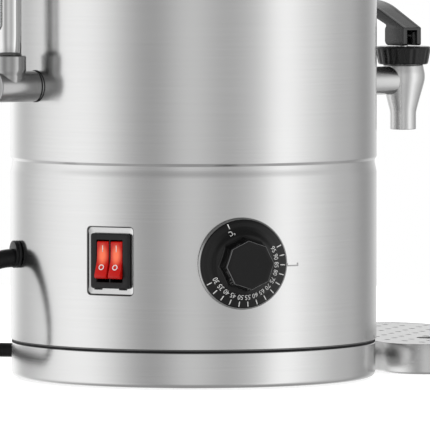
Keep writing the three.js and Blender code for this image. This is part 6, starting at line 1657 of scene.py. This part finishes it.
class URN_OT_tray(bpy.types.Operator):
    """Builds the drip tray and its perforated grille with finger holes and feet"""
    bl_idname = "urn.tray"
    bl_label = "Drip tray and grille"

    def execute(self, context):
        finish = finishes()
        quarter = np.linspace(0, np.pi / 2, 6)
        rows = [(TRAY_EDGE * (1 - math.sin(a)), TRAY_EDGE * (1 - math.cos(a))) for a in quarter]
        rows += [(0.0, 9.0), (0.0, TRAY_HEIGHT - 0.35), (0.12, TRAY_HEIGHT - 0.08), (0.35, TRAY_HEIGHT),
                 (TRAY_WALL - 0.35, TRAY_HEIGHT), (TRAY_WALL - 0.1, TRAY_HEIGHT - 0.1),
                 (TRAY_WALL, TRAY_HEIGHT - 0.35), (TRAY_WALL, 9.0)]
        rows += [(TRAY_WALL + TRAY_EDGE * (1 - math.cos(a)), TRAY_WALL + TRAY_EDGE * (1 - math.sin(a)))
                 for a in quarter]
        grid = stacked([tray_outline(drawn) for drawn, _ in rows], [height for _, height in rows])
        piece("tray_pan", "drip_tray", finish["cast"], [closed_skin(tray_place(grid))],
              ("drip_tray",))
        self.grille(context, finish)
        return {"FINISHED"}

    def fits(self, u, v):
        """Which places keep a margin from the grille's edge and from both finger holes."""
        width, reach = TRAY_HALF - TRAY_CORNER, TRAY_OUTER - TRAY_CORNER
        horn = math.sqrt((TRAY_INNER + TRAY_CORNER) ** 2 - width ** 2)
        side = np.abs(v)
        limit = TRAY_CORNER - GRILLE_MARGIN
        bad = np.hypot(u, v) < TRAY_INNER + GRILLE_MARGIN
        bad |= (u > TRAY_OUTER - GRILLE_MARGIN) | (side > TRAY_HALF - GRILLE_MARGIN)
        bad |= (u > reach) & (side > width) & (np.hypot(u - reach, side - width) > limit)
        bad |= (u < horn) & (side > width) & (np.hypot(u - horn, side - width) > limit)
        bad |= np.hypot(u - FINGER_REACH, side - FINGER_OFFSET) < FINGER_RADIUS + GRILLE_MARGIN / 2
        return ~bad

    def grille(self, context, finish):
        """A flat sheet cut by circles on rows spaced by half the root of three of their pitch."""
        row_pitch = GRILLE_PITCH * math.sqrt(3) / 2
        rows, columns = math.ceil(TRAY_OUTER / row_pitch), math.ceil(TRAY_HALF / GRILLE_PITCH)
        row, column = np.meshgrid(np.arange(rows), np.arange(-columns, columns + 1), indexing="ij")
        u = TRAY_OUTER - GRILLE_MARGIN - row_pitch * row
        v = (column + (row % 2) / 2) * GRILLE_PITCH
        ok = self.fits(u, v)
        hole = context.scene.urn_sizes.grille_hole / MM / 2
        outlines = [tray_outline(TRAY_WALL + SEAT_GAP)]
        outlines += [circle(hole, 20, place) for place in zip(u[ok], v[ok])]
        outlines += [circle(FINGER_RADIUS, 48, (FINGER_REACH, side * FINGER_OFFSET)) for side in (-1, 1)]
        curve = bpy.data.curves.new("sheet", "CURVE")
        curve.dimensions, curve.fill_mode, curve.extrude = "2D", "BOTH", GRILLE_THICKNESS / 2
        for outline in outlines:
            spline = curve.splines.new("POLY")
            spline.points.add(len(outline) - 1)
            flat = np.concatenate([outline, np.zeros((len(outline), 1)), np.ones((len(outline), 1))], 1)
            spline.points.foreach_set("co", flat.reshape(-1))
            spline.use_cyclic_u = True
        points, faces = flattened(curve)
        top = TRAY_HEIGHT - GRILLE_RECESS
        points[:, 2] += top - GRILLE_THICKNESS / 2
        parts = [(tray_place(points), faces)]
        width = TRAY_HALF - GRILLE_FOOT_INSET
        for place in (TRAY_OUTER - GRILLE_FOOT_INSET,
                      math.hypot(TRAY_INNER, TRAY_HALF) - GRILLE_FOOT_INSET / 2):
            for side in (-1, 1):
                foot = rod(GRILLE_FOOT, TRAY_WALL + SEAT_GAP, top - 0.6, (0.6, 0.1), 28)
                parts.append(skin(tray_place(foot + np.array([place, side * width, 0]))))
        piece("grille_sheet", "drip_grille", finish["sheet"], parts, ("drip_grille",))


# Inside: the heater, the thermostat and the wiring.
WIRE_RADIUS, LOOM_BEND = 2.2, 22.0
TERMINAL, TERMINAL_TOP, CELL_PITCH = (-44.0, -30.0), 17.8, 34.0 / 3
THERMOSTAT_BACK = 74.8


def wire_line(start, start_way, end, end_way):
    """A wire's middle line: it leaves each end straight by the loom's bend."""
    return smooth_line([start, start + start_way * LOOM_BEND, end + end_way * LOOM_BEND, end], 16)


class URN_OT_inside(bpy.types.Operator):
    """Builds the wires and gives the hidden fittings their finishes"""
    bl_idname = "urn.inside"
    bl_label = "Heater, thermostat and wires"

    def execute(self, context):
        finish = finishes()
        for node in ("supply_wires", "switch_wires", "thermostat_wires", "element_wires"):
            self.wire(node, finish)
        refinish(["heat_plate", "thermostat_bracket"], finish["aluminium"])
        refinish(["heating_element"], finish["satin"])
        refinish(["overheat_cutout", "thermostat_body", "terminal_block"], finish["bakelite"])
        refinish(["sensor_bulb"], finish["copper"])
        return {"FINISHED"}

    def ends(self, node):
        """Both ends of a wire bundle with the ways they leave, in the urn's own frame."""
        up = np.array([0.0, 0.0, 1.0])

        def behind(azimuth, height, right, out):
            place = at_station(np.array([right, 0.0, out]), azimuth, height) - AXIS - up * LIFT
            return place, -directions(azimuth)[2]

        def cell(index):
            return np.array([TERMINAL[0] + index * CELL_PITCH, TERMINAL[1], TERMINAL_TOP]), up

        if node == "supply_wires":
            return behind(*GLAND, 0.0, 99.7) + cell(-1)
        if node == "switch_wires":
            return behind(*SWITCH, 0.0, BODY_BACK - BLADE_LENGTH - SEAT_GAP) + cell(0)
        if node == "thermostat_wires":
            return behind(*DIAL, -9.0, THERMOSTAT_BACK - SEAT_GAP) + cell(1)
        half = math.radians(316 / 2) + 9 / 58
        element = np.array([-58 * math.sin(half), -58 * math.cos(half), 121.7])
        return behind(*DIAL, 9.0, THERMOSTAT_BACK - SEAT_GAP) + (element, -up)

    def wire(self, node, finish):
        line = about_axis(wire_line(*self.ends(node)))
        piece(node.replace("wires", "loom"), "urn", finish["cable"],
              [tube(line, WIRE_RADIUS, 12, up=(0.31, 0.62, 0.72))], (node,))


class URN_PT_panel(bpy.types.Panel):
    """The urn's settings and its pieces"""
    bl_idname = "URN_PT_panel"
    bl_label = "Hot water urn"
    bl_space_type = "VIEW_3D"
    bl_region_type = "UI"
    bl_category = "Urn"

    def draw(self, context):
        layout = self.layout
        for title, group in (("Sizes", context.scene.urn_sizes), ("Finishes", context.scene.urn_finishes),
                             ("Stage", context.scene.urn_stage)):
            box = layout.box()
            box.label(text=title)
            for name in type(group).__annotations__:
                box.prop(group, name)
        column = layout.column(align=True)
        for operator in OPERATORS:
            column.operator(operator.bl_idname)


OPERATORS = (URN_OT_stage, URN_OT_cord, URN_OT_shell, URN_OT_base, URN_OT_tank, URN_OT_lid, URN_OT_dial,
             URN_OT_switch, URN_OT_gland, URN_OT_tap, URN_OT_gauge, URN_OT_handles, URN_OT_tray,
             URN_OT_inside)
SETTINGS = (("urn_sizes", UrnSizes), ("urn_finishes", UrnFinishes), ("urn_stage", UrnStage))


def register():
    for name, group in SETTINGS:
        bpy.utils.register_class(group)
        setattr(bpy.types.Scene, name, bpy.props.PointerProperty(type=group))
    for operator in OPERATORS + (URN_PT_panel,):
        bpy.utils.register_class(operator)


def unregister():
    for operator in (URN_PT_panel,) + OPERATORS[::-1]:
        bpy.utils.unregister_class(operator)
    for name, group in SETTINGS[::-1]:
        delattr(bpy.types.Scene, name)
        bpy.utils.unregister_class(group)


def main():
    """Builds the whole urn."""
    register()
    for operator in OPERATORS:
        category, name = operator.bl_idname.split(".")
        getattr(getattr(bpy.ops, category), name)()


if __name__ == "__main__":
    main()
